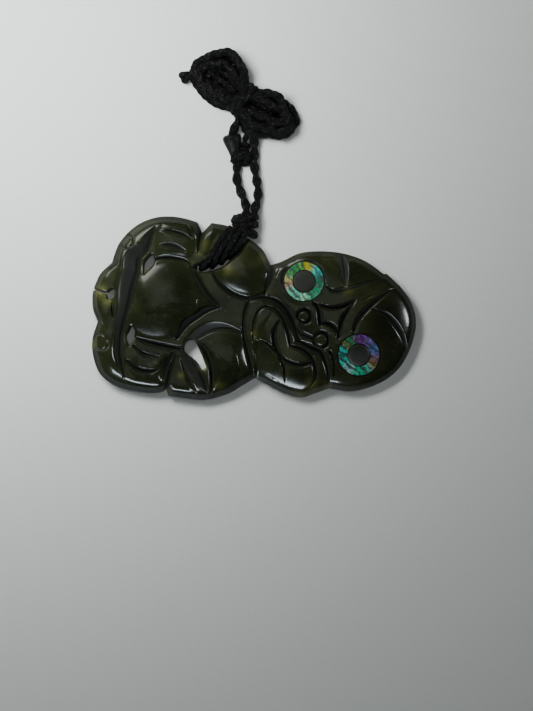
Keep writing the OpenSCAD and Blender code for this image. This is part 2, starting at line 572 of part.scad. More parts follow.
module hank() {
    edge = round_curve(at_all([for (p = hank_outline) [p[0], p[1], 0]]), 2);
    color([0.08, 0.08, 0.09])
        union() {
            translate([0, 0, hank_round])
                linear_extrude(height = hank_h - 2 * hank_round)
                    polygon(edge);
            translate([0, 0, rest_gap])
                linear_extrude(height = hank_h - 2 * rest_gap)
                    polygon(inset(edge, hank_inset));
        }
}

// The round knot that ends the cord, beside the hank
module end_knot() {
    color([0.08, 0.08, 0.09])
        translate(at(end_at))
            hull()
                sphere(r = end_r, $fn = 24);
}

tiki_body();
eye_bed_upper();
eye_bed_lower();
eye_ring_upper();
eye_ring_lower();
lashing(0);  // lashing_1
lashing(1);  // lashing_2
lashing(2);  // lashing_3
lashing(3);  // lashing_4
collar();
neck_strand_left();
neck_strand_right();
toggle();
toggle_lead();
stop_knot();
hank();
end_knot();
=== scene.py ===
# %% [markdown]
# # A hei tiki pendant on a plaited cord
# The pendant is a small figure of polished greenstone that lies on its back, with its head to the right.
# Two rings of shell are let into it as eyes. A lashing of fine cord goes through its hole, and from
# there the neck cord runs to a hank that is wound up and tied round its middle.
#
# The file makes the camera first, then the cord, the stone and the materials, and last the floor and the
# light. The shell rings and the beds that they lie in stay the model's own solids.
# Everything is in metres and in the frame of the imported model. The tables are drawn on a square grid,
# x to the right and y downwards, and their heights are in mm above the flat back.

# %% Load the frame
import bpy
import bmesh
import json
import math
import numpy as np
from mathutils import Matrix, Vector, geometry, kdtree

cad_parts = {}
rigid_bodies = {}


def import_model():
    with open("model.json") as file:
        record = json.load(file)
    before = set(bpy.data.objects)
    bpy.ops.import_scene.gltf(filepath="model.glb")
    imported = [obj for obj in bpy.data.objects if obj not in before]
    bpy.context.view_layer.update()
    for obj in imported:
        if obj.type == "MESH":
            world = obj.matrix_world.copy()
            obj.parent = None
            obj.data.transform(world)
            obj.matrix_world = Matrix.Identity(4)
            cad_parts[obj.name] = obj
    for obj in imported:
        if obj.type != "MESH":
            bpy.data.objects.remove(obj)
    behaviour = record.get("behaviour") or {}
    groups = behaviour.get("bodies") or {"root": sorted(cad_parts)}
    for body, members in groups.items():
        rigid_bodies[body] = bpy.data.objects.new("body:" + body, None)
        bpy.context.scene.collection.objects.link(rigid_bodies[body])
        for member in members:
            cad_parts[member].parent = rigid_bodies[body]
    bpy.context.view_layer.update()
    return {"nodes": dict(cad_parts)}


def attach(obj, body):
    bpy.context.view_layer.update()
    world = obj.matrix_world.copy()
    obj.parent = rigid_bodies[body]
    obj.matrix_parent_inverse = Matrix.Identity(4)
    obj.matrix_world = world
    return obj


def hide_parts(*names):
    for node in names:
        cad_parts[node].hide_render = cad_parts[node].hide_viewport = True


for leftover in list(bpy.data.objects):
    bpy.data.objects.remove(leftover)
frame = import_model()
nodes = frame["nodes"]

# %% The drawing grid
mm = 0.001
tiki_length = 81.4
grid_length = 325.4
grid_x = 253.8
grid_y = 307.8
step = tiki_length / grid_length


def at(x, y, z=0.0):
    """A point of the drawing, with its height in mm, as a point of the model."""
    return Vector(((x - grid_x) * step * mm, (grid_y - y) * step * mm, z * mm))


def at_all(rows):
    """Rows of x, y and height as an array of points of the model."""
    rows = np.asarray(rows, float)
    return np.column_stack([(rows[:, 0] - grid_x) * step, (grid_y - rows[:, 1]) * step, rows[:, 2]]) * mm


print("one grid step is", round(step, 4), "mm")

# %% [markdown]
# ## The camera
# The photograph was taken from straight above. So the camera stands over the middle of the picture and
# looks down. A long lens keeps the sides of the stone out of sight. The lens follows from the distance:
# the picture's height has to take in as many millimetres as the drawing grid says.

# %% Camera over the middle of the picture
picture_width = 533
picture_height = 711
camera_distance = 0.5
level_in_focus = 5.0

seen_height = picture_height * step * mm
lens_data = bpy.data.cameras.new("camera")
lens_data.sensor_width = 36
lens_data.lens = lens_data.sensor_width * camera_distance / seen_height
camera = bpy.data.objects.new("camera", lens_data)
camera.location = at(picture_width / 2, picture_height / 2, level_in_focus)
camera.location.z += camera_distance
bpy.context.scene.collection.objects.link(camera)
bpy.context.scene.camera = camera
print("lens", round(lens_data.lens, 1), "mm at", camera_distance, "m")


# %% [markdown]
# ## Smooth lines through a few points
# Every line of this object is drawn by a few points: the edge of the stone, each cut of the gouge and the
# route of the cord. A curve that passes through its points, with a slope that comes from the points on
# both sides, gives the same line as the model has, because the model uses the same rule.

# %% Curves through points
def blend(p, q, u, v, t):
    """The point at t of a curve from p to q, with the slopes u and v."""
    ends = p * (2 * t**3 - 3 * t**2 + 1) + q * (3 * t**2 - 2 * t**3)
    return ends + u * (t**3 - 2 * t**2 + t) + v * (t**3 - t**2)


def gap(p, q):
    """The distance of two points on the drawing, never quite 0."""
    return max(1e-9, float(np.hypot(*(q - p)[:2])))


def slope(a, b, c, reach):
    """The slope at b, from the points on both sides, for a piece of curve of that reach."""
    return (c - a) / (gap(a, b) + gap(b, c)) * reach


def open_curve(rows, parts):
    """A curve through the rows, from the first to the last."""
    rows = np.asarray(rows, float)
    line = []
    for i in range(len(rows) - 1):
        p, q = rows[i], rows[i + 1]
        reach = gap(p, q)
        u = q - p if i == 0 else slope(rows[i - 1], p, q, reach)
        v = q - p if i == len(rows) - 2 else slope(p, q, rows[i + 2], reach)
        line += [blend(p, q, u, v, k / parts) for k in range(parts)]
    return np.array(line + [rows[-1]])


def closed_curve(rows, parts):
    """A closed curve through rows of x, y and a mark that is 1 where the line has a corner."""
    rows = np.array([row if len(row) == 3 else (*row, 0) for row in rows], float)
    count = len(rows)
    line = []
    for i in range(count):
        a, p, q, d = (rows[(i + k) % count] for k in (-1, 0, 1, 2))
        reach = gap(p, q)
        u = q - p if p[2] == 1 else slope(a, p, q, reach)
        v = q - p if q[2] == 1 else slope(p, q, d, reach)
        line += [blend(p, q, u, v, k / parts)[:2] for k in range(parts)]
    return np.array(line)


def run_along(line):
    """How far along the line each of its points is."""
    return np.r_[0, np.cumsum(np.linalg.norm(np.diff(line, axis=0), axis=1))]


def even(line, spacing):
    """The same line with points at an even spacing."""
    run = run_along(line)
    stations = np.linspace(0, run[-1], max(2, int(round(run[-1] / spacing)) + 1))
    return np.column_stack([np.interp(stations, run, line[:, k]) for k in range(line.shape[1])])


curve_parts = 8
fine_spacing = 0.25


def cord_line(rows, spacing=fine_spacing):
    """The line of a cord through rows of the drawing, with points at a spacing in mm."""
    return even(open_curve(at_all(rows), curve_parts), spacing * mm)


# %% [markdown]
# ## The plait
# The cord is a round plait of four waxed threads. Two of them wind to the left and two to the right, and
# where they cross, one lies over the other. Each thread is a line round the cord's own line, and
# Blender's curve bevel gives it its thickness. Four real threads catch the light as the plait does,
# which a pattern on a plain tube can't do from the side.

# %% Threads that wind round a line
def travelling_frames(line):
    """For each point of a line, its direction and two directions across it that don't twist."""
    way = np.gradient(line, axis=0)
    way /= np.linalg.norm(way, axis=1)[:, None]
    across = np.empty_like(line)
    start = np.cross(way[0], (0, 0, 1))
    if np.linalg.norm(start) < 0.1:
        start = np.cross(way[0], (1, 0, 0))
    across[0] = start / np.linalg.norm(start)
    for i in range(1, len(line)):
        turned = across[i - 1] - way[i] * np.dot(across[i - 1], way[i])
        across[i] = turned / np.linalg.norm(turned)
    return way, across, np.cross(way, across)


# The pitch, the reach of the threads and how far they weave in and out, in widths of the plait
plait_pitch = 3.2
plait_reach = 0.245
plait_weave = 0.06
thread_share = 0.29


def plait_threads(line, width, squeeze=1.0):
    """The four threads of a plait of that width round a line."""
    _, across, up = travelling_frames(line)
    turn = run_along(line) / (plait_pitch * width) * math.tau
    threads = []
    for hand, start in ((1, 0.0), (1, math.pi), (-1, 0.0), (-1, math.pi)):
        angle = (hand * turn + start)[:, None]
        reach = width * squeeze * (plait_reach + plait_weave * hand * np.cos(2 * turn))
        threads.append(line + (across * np.cos(angle) + up * np.sin(angle)) * np.reshape(reach, (-1, 1)))
    return threads


def link(obj):
    """Puts a finished piece in the scene and lets it ride on the pendant's only body."""
    bpy.context.scene.collection.objects.link(obj)
    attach(obj, "root")
    return obj


def swept(name, lines, radius, sides=6):
    """One mesh of round threads along the lines."""
    curve = bpy.data.curves.new(name, "CURVE")
    curve.dimensions = "3D"
    curve.bevel_depth = radius
    curve.bevel_resolution = (sides - 4) // 2
    curve.use_fill_caps = True
    for line in lines:
        spline = curve.splines.new("POLY")
        spline.points.add(len(line) - 1)
        spline.points.foreach_set("co", np.column_stack([line, np.ones(len(line))]).ravel())
    wire = bpy.data.objects.new(name + "_line", curve)
    bpy.context.scene.collection.objects.link(wire)
    mesh = bpy.data.meshes.new_from_object(wire.evaluated_get(bpy.context.evaluated_depsgraph_get()))
    bpy.data.objects.remove(wire)
    mesh.shade_smooth()
    mesh.name = name
    return bpy.data.objects.new(name, mesh)


def cord_piece(name, threads, radius, *solids, sides=6):
    """Threads as one piece of cord that stands for solids of the model."""
    piece = link(swept(name, threads, radius, sides))
    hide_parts(*solids)
    return piece


# %% [markdown]
# ## The route of the neck cord
# The neck cord is one piece. It leaves the collar on the left, runs through the toggle into the hank,
# goes round the hank eight times, ties the hank at its waist and comes back to the collar on the right.
# The turns are worked out between an outer and an inner line, where they lie beside each other in three
# layers. The real cord flattens where it is pressed. These round threads don't, so they go into each other.

# %% Strands between the collar and the hank
cord_width = 1.9
strand_left = [
    (245.8, 215.5, 2.7), (246, 208.5, 1.9), (245.4, 203, 1.3), (243, 197, 1.05), (240.5, 190.5, 1.05),
    (237.8, 183.5, 1.05), (236.2, 176, 1.05), (236.4, 168, 1.1), (237.1, 160.3, 1.2), (233.9, 146.6, 1.85),
    (230.7, 133, 2.5)]
strand_lead = [(233.5, 128.5, 2.6), (237, 121.5, 2.4), (240, 114.5, 2.4)]
strand_right = [
    (254.4, 147.7, 1.1), (254.4, 154, 1.05), (254.4, 162, 1.05), (254.8, 170, 1.05), (256.3, 178, 1.05),
    (257.6, 186, 1.05), (257.8, 194, 1.05), (256.8, 201, 1.2), (255, 207.5, 1.9), (253.8, 215.5, 2.7)]

# %% The outer and the inner line of the hank
hank_outer = [
    (193.5, 76), (194, 66), (204, 58.5), (217, 53.5), (230, 52.5), (238.5, 61), (244, 73), (252, 85),
    (264, 92), (279, 97.5), (290.5, 106.5), (296, 119), (293.5, 131), (283, 139.5), (270, 137.5), (257, 137),
    (246, 126), (234, 112), (221, 104), (208.5, 97), (199.5, 86.5)]
hank_inner = [
    (206, 74), (205, 71), (211, 69), (218, 69.5), (224, 73.5), (231, 80), (238, 86.5), (244, 91),
    (256, 101), (266, 109), (275, 114.5), (279, 118), (279, 119.5), (274, 117), (265, 110.5), (255, 104.5),
    (247, 100), (240, 97), (229, 81.5), (219, 73), (210, 71.5)]
upper_side = range(1, 10)
lower_side = range(12, 21)
upper_waist = 7
lower_waist = 17
leaves_hank_at = 16
# For each turn: the place from the outer line, 0, to the inner one, 1, and the height, on each side
upper_places = [(0, 1.1), (0.5, 1.1), (1, 1.1), (0.1, 2.8), (0.9, 2.7), (0, 4.5), (0.55, 3.2), (0.6, 4.7)]
lower_places = [
    (0, 1.1), (0.33, 1.1), (0.67, 1.1), (1, 1.1), (0.17, 2.7), (0.83, 2.7), (0.5, 2.8), (0.33, 4.3),
    (0.7, 4.3)]
# At the waist the strands are pressed into columns and layers: the distance across, and the height
waist_columns = (-2.7, -1.6, -0.5, 0.6, 1.7, 2.7)
waist_layers = (1.3, 2.6, 3.9)
waist_upper = [(x, z) for z in waist_layers for x in waist_columns[:3]]
waist_lower = [(x, z) for z in waist_layers for x in waist_columns[5:2:-1]]

waist_at = np.array([243, 98.5])
waist_across = np.array([-0.62, 0.78])
waist_along = np.array([0.78, 0.62])


def waist_point(across, height, along=0.0):
    """A point at the hank's waist, with distances in mm."""
    place = waist_at + (waist_across * across + waist_along * along) / step
    return (place[0], place[1], height)


def hank_point(turn, j):
    """Where turn number turn crosses station j of the hank's lines."""
    upper = upper_places[max(0, turn - 1)]
    lower = lower_places[turn if j >= lower_side[0] else max(0, turn - 1)]
    if j == upper_waist:
        return waist_point(*waist_upper[turn - 1])
    if j == lower_waist:
        return waist_point(*waist_lower[turn])
    if j in upper_side:
        place = upper
    elif j in lower_side:
        place = lower
    else:
        place = tuple((a + b) / 2 for a, b in zip(upper, lower))
    x, y = np.array(hank_outer[j]) * (1 - place[0]) + np.array(hank_inner[j]) * place[0]
    return (x, y, place[1])


# %% The whole route
turns = len(upper_places)
hank_route = [hank_point(0, j) for j in range(lower_waist, len(hank_outer))]
for turn in range(1, turns + 1):
    last = len(hank_outer) if turn < turns else leaves_hank_at
    hank_route += [hank_point(turn, j) for j in range(last)]

# The tie goes round the waist twice, a cord's width further each time
tie_across = 3.75
tie_high = 1.95
tie_middle = 3.0
tie_turns = 2
tie_points = 12
tie_pitch = 1.1 * cord_width
tie_corners = 0.75
tie = []
for k in range(tie_turns * tie_points + 1):
    angle = k / tie_points * math.tau
    along = (k / (tie_turns * tie_points) - 0.5) * tie_pitch
    across, high = math.cos(angle), math.sin(angle)
    across, high = (math.copysign(abs(part) ** tie_corners, part) for part in (across, high))
    tie.append(waist_point(tie_across * across, tie_middle + tie_high * high, along))

to_right_strand = [(242, 118, 1.5), (249, 128.5, 2.4), (254, 139.5, 1.9)]
route_rows = strand_left + strand_lead + hank_route + tie + to_right_strand + strand_right


def wander(rows, reach, seed):
    """The same rows, each moved a little, as a hand would lay them; half as much in height."""
    steps = np.random.default_rng(seed).normal(0, reach, (len(rows), 3))
    return np.asarray(rows, float) + steps * (1 / step, 1 / step, 0.5)


hand_play = 0.09
neck_spacing = 0.45
lowest_cord = 1.2
first, last = len(strand_left), len(route_rows) - len(strand_right)
route_rows = np.array(route_rows, float)
route_rows[first:last] = wander(route_rows[first:last], hand_play, seed=7)
neck_line = cord_line(route_rows, neck_spacing)
neck_line[:, 2] = np.maximum(neck_line[:, 2], lowest_cord * mm)

# %% The neck cord itself
waxed_width = 1.1 * cord_width
toggle_wide = (230.7, 133, 2.5)
toggle_narrow = (237.1, 160.3, 1.2)
squeeze_in_toggle = 0.55
squeeze_under_tie = 0.8


def drawn_in(line):
    """How far the threads draw together: inside the toggle and under the tie."""
    a, b = np.array(at(*toggle_wide)), np.array(at(*toggle_narrow))
    along = (line - a) @ (b - a) / np.dot(b - a, b - a)
    aside = np.linalg.norm(line - a - np.clip(along, 0, 1)[:, None] * (b - a), axis=1)
    in_toggle = (along > 0.02) & (along < 0.98) & (aside < 1.2 * mm)
    waist = np.array(at(*waist_at))[:2]
    away = (line[:, :2] - waist) / mm
    along_waist = np.abs(away @ (waist_along * (1, -1)))
    across_waist = np.abs(away @ (waist_across * (1, -1)))
    high = line[:, 2] / mm
    under_tie = (along_waist < 2.5) & (across_waist < 3.3) & (high < 4.8) & (high > 1.3)
    return np.where(in_toggle, squeeze_in_toggle, np.where(under_tie, squeeze_under_tie, 1.0))


def eased(values, reach=4):
    """The same numbers with their jumps spread over a few neighbours."""
    count = 2 * reach + 1
    return np.convolve(np.pad(values, reach, mode="edge"), np.ones(count) / count, mode="valid")


neck_cord = cord_piece(
    "neck_cord", plait_threads(neck_line, waxed_width * mm, squeeze=eased(drawn_in(neck_line))),
    waxed_width * thread_share * mm, "neck_strand_left", "neck_strand_right", "toggle_lead", "hank")
print("neck_cord has", len(neck_cord.data.polygons), "faces")

# %% [markdown]
# ## The lashing and the collar
# Four strands of a finer plait go from the collar over the stone, through its hole, and back behind it in
# a seat that is cut for them. The collar is three tight wraps of a thicker plait round all the strands.
# They are threads round a line again, which keeps one look for all the cord.

# %% The lashing
lash_width = 1.35
lash_lines = [
    [(231, 226.8, 4.6), (227, 232, 6.1), (219.5, 241.5, 6.4), (213.5, 251, 6.45), (208.5, 260, 6.75),
     (204.2, 265.8, 5.2), (201, 267.8, 2.6), (205.5, 266, 1.1), (214, 257, 0.78), (222, 243, 0.78),
     (228, 232.5, 0.78), (231.7, 227.4, 1)],
    [(236, 227.7, 4), (232.3, 233, 6.05), (225.5, 242.5, 6.5), (220, 251.5, 6.4), (216, 258.5, 6.35),
     (213.8, 263, 4.75), (211.5, 266.3, 2.6), (214.5, 263.5, 1.1), (221, 254, 0.78), (228, 242, 0.78),
     (233.5, 232.8, 0.78), (236.6, 228.4, 1)],
    [(241, 228.8, 3.8), (238, 234, 5.8), (232, 243.5, 6.5), (227.5, 250.5, 6), (224, 256, 5.2),
     (222.5, 259.5, 4.2), (220.5, 262.3, 2.6), (223.5, 259, 1.1), (229, 250, 0.78), (234.5, 240.5, 0.78),
     (239, 233.5, 0.78), (241.6, 229.4, 1)],
    [(246, 229.5, 3.7), (244, 235.5, 5.25), (239.3, 243.5, 5.5), (235.3, 248.5, 5.15), (232, 252, 4.5),
     (230.5, 254.5, 3.7), (229.3, 256.5, 2.6), (232.5, 253, 0.85), (236.6, 246.5, 0.78), (241, 239, 0.78),
     (244.3, 233.5, 0.78), (246.6, 230.4, 1)]]
for number, rows in enumerate(lash_lines, start=1):
    line = cord_line(rows)
    strand = cord_piece(
        f"lashing_{number}_plait", plait_threads(line, lash_width * mm), lash_width * thread_share * mm,
        f"lashing_{number}")
    print(strand.name, "is", round(len(line) * fine_spacing), "mm long")

# %% The collar
collar_x = 245
collar_z = 2.65
collar_high = 1.45
collar_dip = 1.2
collar_width = 1.85
wrap_points = 40
wrap_overlap = 5
# Each wrap: its place down the drawing, how far it leans and is moved aside, and half its width in mm
collar_rows = [(217, -1, 0, 2.55), (222, 2, -0.4, 2.6), (228.5, 6, -0.6, 2.45)]


def wrap(y, lean, aside, half):
    """One wrap round the strands, a little more than a full turn."""
    angle = np.arange(wrap_points + wrap_overlap) / wrap_points * math.tau
    across, high = np.cos(angle), np.sin(angle)
    rows = np.column_stack([
        collar_x + aside + half * across / step, y + lean * across + collar_dip * high,
        collar_z + collar_high * high])
    return even(at_all(rows), fine_spacing * mm)


wraps = []
for row in collar_rows:
    wraps += plait_threads(wrap(*row), collar_width * mm)
collar_cord = cord_piece("collar_wraps", wraps, collar_width * thread_share * mm, "collar")

# %% [markdown]
# ## Toggle and knots
# The toggle is a small drop of dark horn that slides on the cord, turned on a lathe, so it is a profile
# that is spun. The stop knot is a barrel of wraps on a short tail, and the cord's free end is closed with
# a round knot. Each knot follows a curve that a formula gives: a helix and a trefoil.

# %% The toggle
same_place = 0.002 * mm
toggle_profile = [
    (0, 0), (0.03, 1.0), (0.12, 1.65), (0.35, 2.12), (0.9, 2.38), (1.6, 2.32), (2.6, 2.02), (3.8, 1.68),
    (5.2, 1.42), (6.6, 1.28), (6.9, 1.18), (7.0, 1.0), (7.0, 0)]
toggle_mesh = bpy.data.meshes.new("toggle_drop")
build = bmesh.new()
profile = [build.verts.new((radius * mm, 0, along * mm)) for along, radius in toggle_profile]
edges = [build.edges.new(pair) for pair in zip(profile[:-1], profile[1:])]
bmesh.ops.spin(
    build, geom=profile + edges, cent=(0, 0, 0), axis=(0, 0, 1), angle=math.tau, steps=48, use_merge=True)
bmesh.ops.remove_doubles(build, verts=build.verts, dist=same_place)
bmesh.ops.recalc_face_normals(build, faces=build.faces)
toggle_way = at(*toggle_narrow) - at(*toggle_wide)
turned = toggle_way.to_track_quat("Z", "Y").to_matrix().to_4x4()
bmesh.ops.transform(build, matrix=Matrix.Translation(at(*toggle_wide)) @ turned, verts=build.verts)
build.to_mesh(toggle_mesh)
build.free()
toggle_mesh.shade_smooth()
toggle = link(bpy.data.objects.new("toggle_drop", toggle_mesh))
soft = toggle.modifiers.new("soft", "SUBSURF")
soft.levels = soft.render_levels = 1
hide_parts("toggle")
print("the toggle has", len(toggle_mesh.polygons), "faces")

# %% The stop knot
knot_width = 1.35
knot_top = (244.6, 141.5, 1.75)
knot_bottom = (245.4, 163, 1.75)
knot_turns = 3.5
knot_ends = 0.035
tail_rows = [(236, 113, 1.8), (242, 124, 1.6), (246, 133, 1.6), knot_top, knot_bottom]
steps = np.linspace(0, 1, 140)[:, None]
angle = steps * knot_turns * math.tau
swell = (0.7 + 0.2 * np.sin(steps * math.pi * 2.2) ** 2) * mm
a, b = np.array(at(*knot_top)), np.array(at(*knot_bottom))
side = np.cross((b - a) / np.linalg.norm(b - a), (0, 0, 1))
axis_points = a + (b - a) * (steps * (1 - 2 * knot_ends) + knot_ends)
helix = axis_points + (side * np.cos(angle) + np.array((0, 0, 1)) * np.sin(angle)) * swell

# Two wraps tie the knot to the narrow end of the toggle: each goes round once and a little further down
whip_turns = 2
whip_points = 24
whip_step = 0.13
k = np.arange(whip_turns * whip_points + 1)
angle = k / whip_points * math.tau
whipping = at_all(np.column_stack([
    241 + 8.6 * np.cos(angle), 154.5 + k * whip_step - 2 * np.sin(angle), 2.15 + 1.3 * np.sin(angle)]))
knot_threads = []
for line in (even(helix, fine_spacing * mm), even(whipping, fine_spacing * mm), cord_line(tail_rows)):
    knot_threads += plait_threads(line, knot_width * mm)
stop_knot = cord_piece("stop_knot_wraps", knot_threads, knot_width * thread_share * mm, "stop_knot")

# %% The end knot
end_at = (184.5, 75, 1.75)
end_reach = 0.52
end_squash = (0.78, 0.78, 0.9)
end_thread = 0.55
neck_rows = [(184, 74.5, 1.5), (190, 74, 1.6), (196, 72, 2.2)]
neck_width = 2.4
steps = np.linspace(0, math.tau, 120)
trefoil = np.column_stack([
    np.sin(steps) + 2 * np.sin(2 * steps), np.cos(steps) - 2 * np.cos(2 * steps), -1.1 * np.sin(3 * steps)])
trefoil = trefoil * end_reach * mm * end_squash + np.array(at(*end_at))
neck_threads = plait_threads(cord_line(neck_rows, 0.3), neck_width * mm)
end_knot = cord_piece("end_knot_ball", [trefoil, *neck_threads], end_thread * mm, "end_knot", sides=10)

# %% [markdown]
# ## The stone: its edge and holes
# The tiki is one flat piece of greenstone. Its edge was sawn and ground to a line with a few sharp
# notches, and five openings go right through it: the toe slit, three gaps between the limbs, and the
# hole for the cord. A row with a third number, 1, is a corner.

# %% Lines that go right through
outline = [
    (93, 288.5), (95, 283), (100, 273), (111.5, 262, 1), (113.5, 255), (119, 242), (129, 230.5), (141, 222),
    (155, 217), (168, 215.8), (182, 217.3), (197, 221.5, 1), (202, 232.5, 1), (211.5, 222.3, 1),
    (227, 225.3), (231.5, 229.5), (240, 235.5), (250, 239), (263, 250), (270.5, 265, 1), (283, 260.5),
    (300, 252.7), (318, 250.8), (338, 252), (356, 256.5), (369, 262.5), (384.5, 274, 1), (387, 273.5),
    (400.5, 286, 1), (409.5, 298), (415, 311), (416.5, 325), (413.5, 341), (408, 355), (399, 369),
    (386, 380), (368, 388), (350, 391.5), (329, 388.5, 1), (314, 393.8), (302, 397.3), (284, 393),
    (263, 382.5), (255, 378, 1), (241, 386.5), (228, 394), (205, 400), (185, 398.5), (168, 396, 1),
    (166, 389.5, 1), (160, 392.5), (145, 392.8), (122, 388.5), (108, 382), (98, 372), (91.8, 353),
    (91.8, 338), (97, 321.5, 1), (92.5, 310), (91.5, 297)]
toe_slit = [
    (90, 287.9, 1), (99, 289.6), (107, 292.2, 1), (110, 290), (113, 288.5), (115, 291), (113.5, 297),
    (110, 299.5), (107.2, 298.5), (106, 293.8, 1), (98, 291), (90, 289.4, 1)]
knee_hole = [
    (152.5, 254), (154.5, 262), (150, 268), (143.3, 274.3, 1), (143.8, 264), (147, 258.5)]
shin_hole = [
    (131.5, 326), (135, 330), (134, 338), (128.7, 346.5, 1), (125.5, 338), (128, 332)]
arm_hole = [
    (186, 341.5), (193.5, 340), (199.5, 350), (206.5, 367.5, 1), (202, 370), (196, 361), (184.3, 351.5)]
cord_hole = [
    (197, 265.5), (206, 262.5), (215, 258), (227, 249.5), (236, 250), (229, 260.5), (219, 268), (207, 271),
    (198, 271)]

edge_line = closed_curve(outline, 8)
hole_lines = [closed_curve(rows, 8) for rows in (toe_slit, knee_hole, shin_hole, arm_hole, cord_hole)]
print("the edge is", round(float(run_along(edge_line)[-1] * step)), "mm long")

# %% [markdown]
# ## The forms of the figure
# Belly, shoulders, thighs, mouth and head are low domes over an outline; legs and arms are rounded bars.
# All of them stand on a plain ground, and two large shells bring the whole down to the side walls. Each
# one is a height over the drawing, and the stone is the highest of them at each place. Heights are easier
# to mix softly than solids, and a polished stone has no hard joins.

# %% Shells, domes and limbs
side_wall = 2.9
ground_top = 5.6
ground_end = 264
body_shell = [
    (88, 290), (96, 268), (110, 246), (130, 226), (155, 213), (185, 212), (212, 217), (245, 228),
    (268, 250), (300, 300), (270, 345), (258, 382), (236, 394), (206, 404), (165, 400), (125, 393),
    (98, 378), (87, 350), (88, 320)]
head_shell = [
    (262, 262), (282, 256), (300, 248.5), (318, 247), (340, 248.5), (372, 261), (394, 274), (411, 292),
    (420, 318), (418, 338), (408, 362), (390, 381), (366, 393), (345, 395.5), (326, 394), (302, 401.5),
    (280, 396), (256, 382), (240, 340), (244, 296)]
belly = [
    (138, 275), (148, 265), (160, 259), (176, 258), (190, 264), (202, 279), (219.5, 306.5), (204, 315),
    (188, 328), (172, 339), (156, 341), (140, 338), (130, 330), (127, 318), (131, 294)]
shoulder_upper = [
    (211, 270), (222, 258), (236, 243), (250, 234), (262, 246), (272, 258), (274, 268), (272, 280),
    (265, 293), (252, 299), (238, 296.5), (222, 288)]
shoulder_lower = [
    (197, 341), (207, 333), (220, 328.5), (238, 330), (247, 340), (251, 358), (256, 378), (244, 388),
    (226, 398), (210, 403), (212, 386), (211, 366), (205, 352)]
thigh_upper = [
    (154, 228), (162, 213), (182, 213), (198, 218), (203, 234), (198, 250), (192, 260), (176, 259),
    (158, 259), (151, 250)]
thigh_lower = [
    (133, 345), (150, 346), (172, 349), (170, 362), (164, 376), (166, 392), (150, 397), (134, 394),
    (124, 378), (126, 358)]
mouth = [
    (247, 303), (256, 296), (270, 294), (284, 302), (294, 318), (301, 338), (318, 346), (329, 360),
    (332, 376), (330, 392), (304, 402), (280, 396), (254, 381), (247, 362), (242, 335.5)]
head = [
    (268, 268), (290, 254), (318, 247), (345, 248), (374, 260), (400, 278), (417, 302), (421, 326),
    (412, 356), (393, 379), (364, 394), (338, 396), (322, 388), (296, 360), (278, 330), (262, 300)]
# Centre, height at the foot, height at the top, bluntness and outline
shells = [((178, 306), side_wall, 8.2, 5, body_shell), ((330, 324), side_wall, 7.2, 4, head_shell)]
domes = [
    ((164, 301), 5.2, 7.6, 2.2, belly), ((244, 271), 5.0, 7.0, 2.2, shoulder_upper),
    ((230, 363), 5.0, 7.0, 2.2, shoulder_lower), ((177, 239), 5.0, 6.5, 3, thigh_upper),
    ((150, 370), 4.8, 6.2, 3, thigh_lower), ((286, 350), 4.9, 6.5, 4, mouth),
    ((345, 322), 4.4, 6.9, 2.4, head)]
# Limbs: x, y, half width, top height
limb_foot = 3.4
leg = [
    (158, 224, 9, 6.1), (143, 233, 11, 6.4), (131, 249, 13, 6.6), (126, 268, 13, 6.6), (121, 290, 13, 6.4),
    (116, 312, 13, 6.2), (110, 332, 13, 6.2), (106, 350, 14, 6.4), (110, 368, 14, 6.4), (126, 380, 12, 6.2),
    (148, 385, 9, 6)]
toes = [
    (106, 276, 10, 5.7), (102, 284, 8, 5.4), (102, 304, 8, 5.4), (107, 313, 8, 5.65)]
forearm = [
    (181, 351, 7, 6), (190, 370, 12, 6.5), (199, 388, 13, 6.4), (204, 402, 13, 6)]
upper_arm = [
    (204, 250, 9, 5.9), (211, 230, 12, 6.1), (228, 224, 10, 6)]


# %% Heights over the drawing
def lower_of(a, b, reach):
    """The lower of two heights, with the join rounded over that reach."""
    near = np.maximum(reach - np.abs(a - b), 0) / reach
    return np.minimum(a, b) - near * near * reach / 4


def higher_of(a, b, reach):
    """The higher of two heights, with the join rounded over that reach."""
    return -lower_of(-a, -b, reach)


def dome_height(points, centre, foot, top, blunt, rows, lowest=1.0):
    """A dome that is foot high at its outline and top high at its centre."""
    edge = closed_curve(rows, 6) - centre
    away = points - centre
    edge_way, edge_far = np.arctan2(edge[:, 1], edge[:, 0]), np.hypot(edge[:, 0], edge[:, 1])
    reach = np.interp(np.arctan2(away[:, 1], away[:, 0]), edge_way, edge_far, period=math.tau)
    share = np.minimum(np.hypot(away[:, 0], away[:, 1]) / reach, 2)
    return np.maximum(foot + (top - foot) * (1 - share**blunt), lowest)


def limb_height(points, rows):
    """A bar with a rounded back along the rows."""
    height = np.full(len(points), 1.0)
    for x, y, half, top in open_curve(rows, 10):
        share = np.minimum(np.hypot(points[:, 0] - x, points[:, 1] - y) / half, 1.3)
        height = np.maximum(height, limb_foot + (top - limb_foot) * (1 - share * share * share))
    return height


# %% [markdown]
# ## The cuts of the gouge
# The lines between the forms were ground in as grooves with a steep and a flat side. Each cut follows a
# curve; beside it the height rises from the floor by one mm over a spread that differs left and right.
# The nearest place on the curve gives floor and spread, so a cut is one short function of the distance.

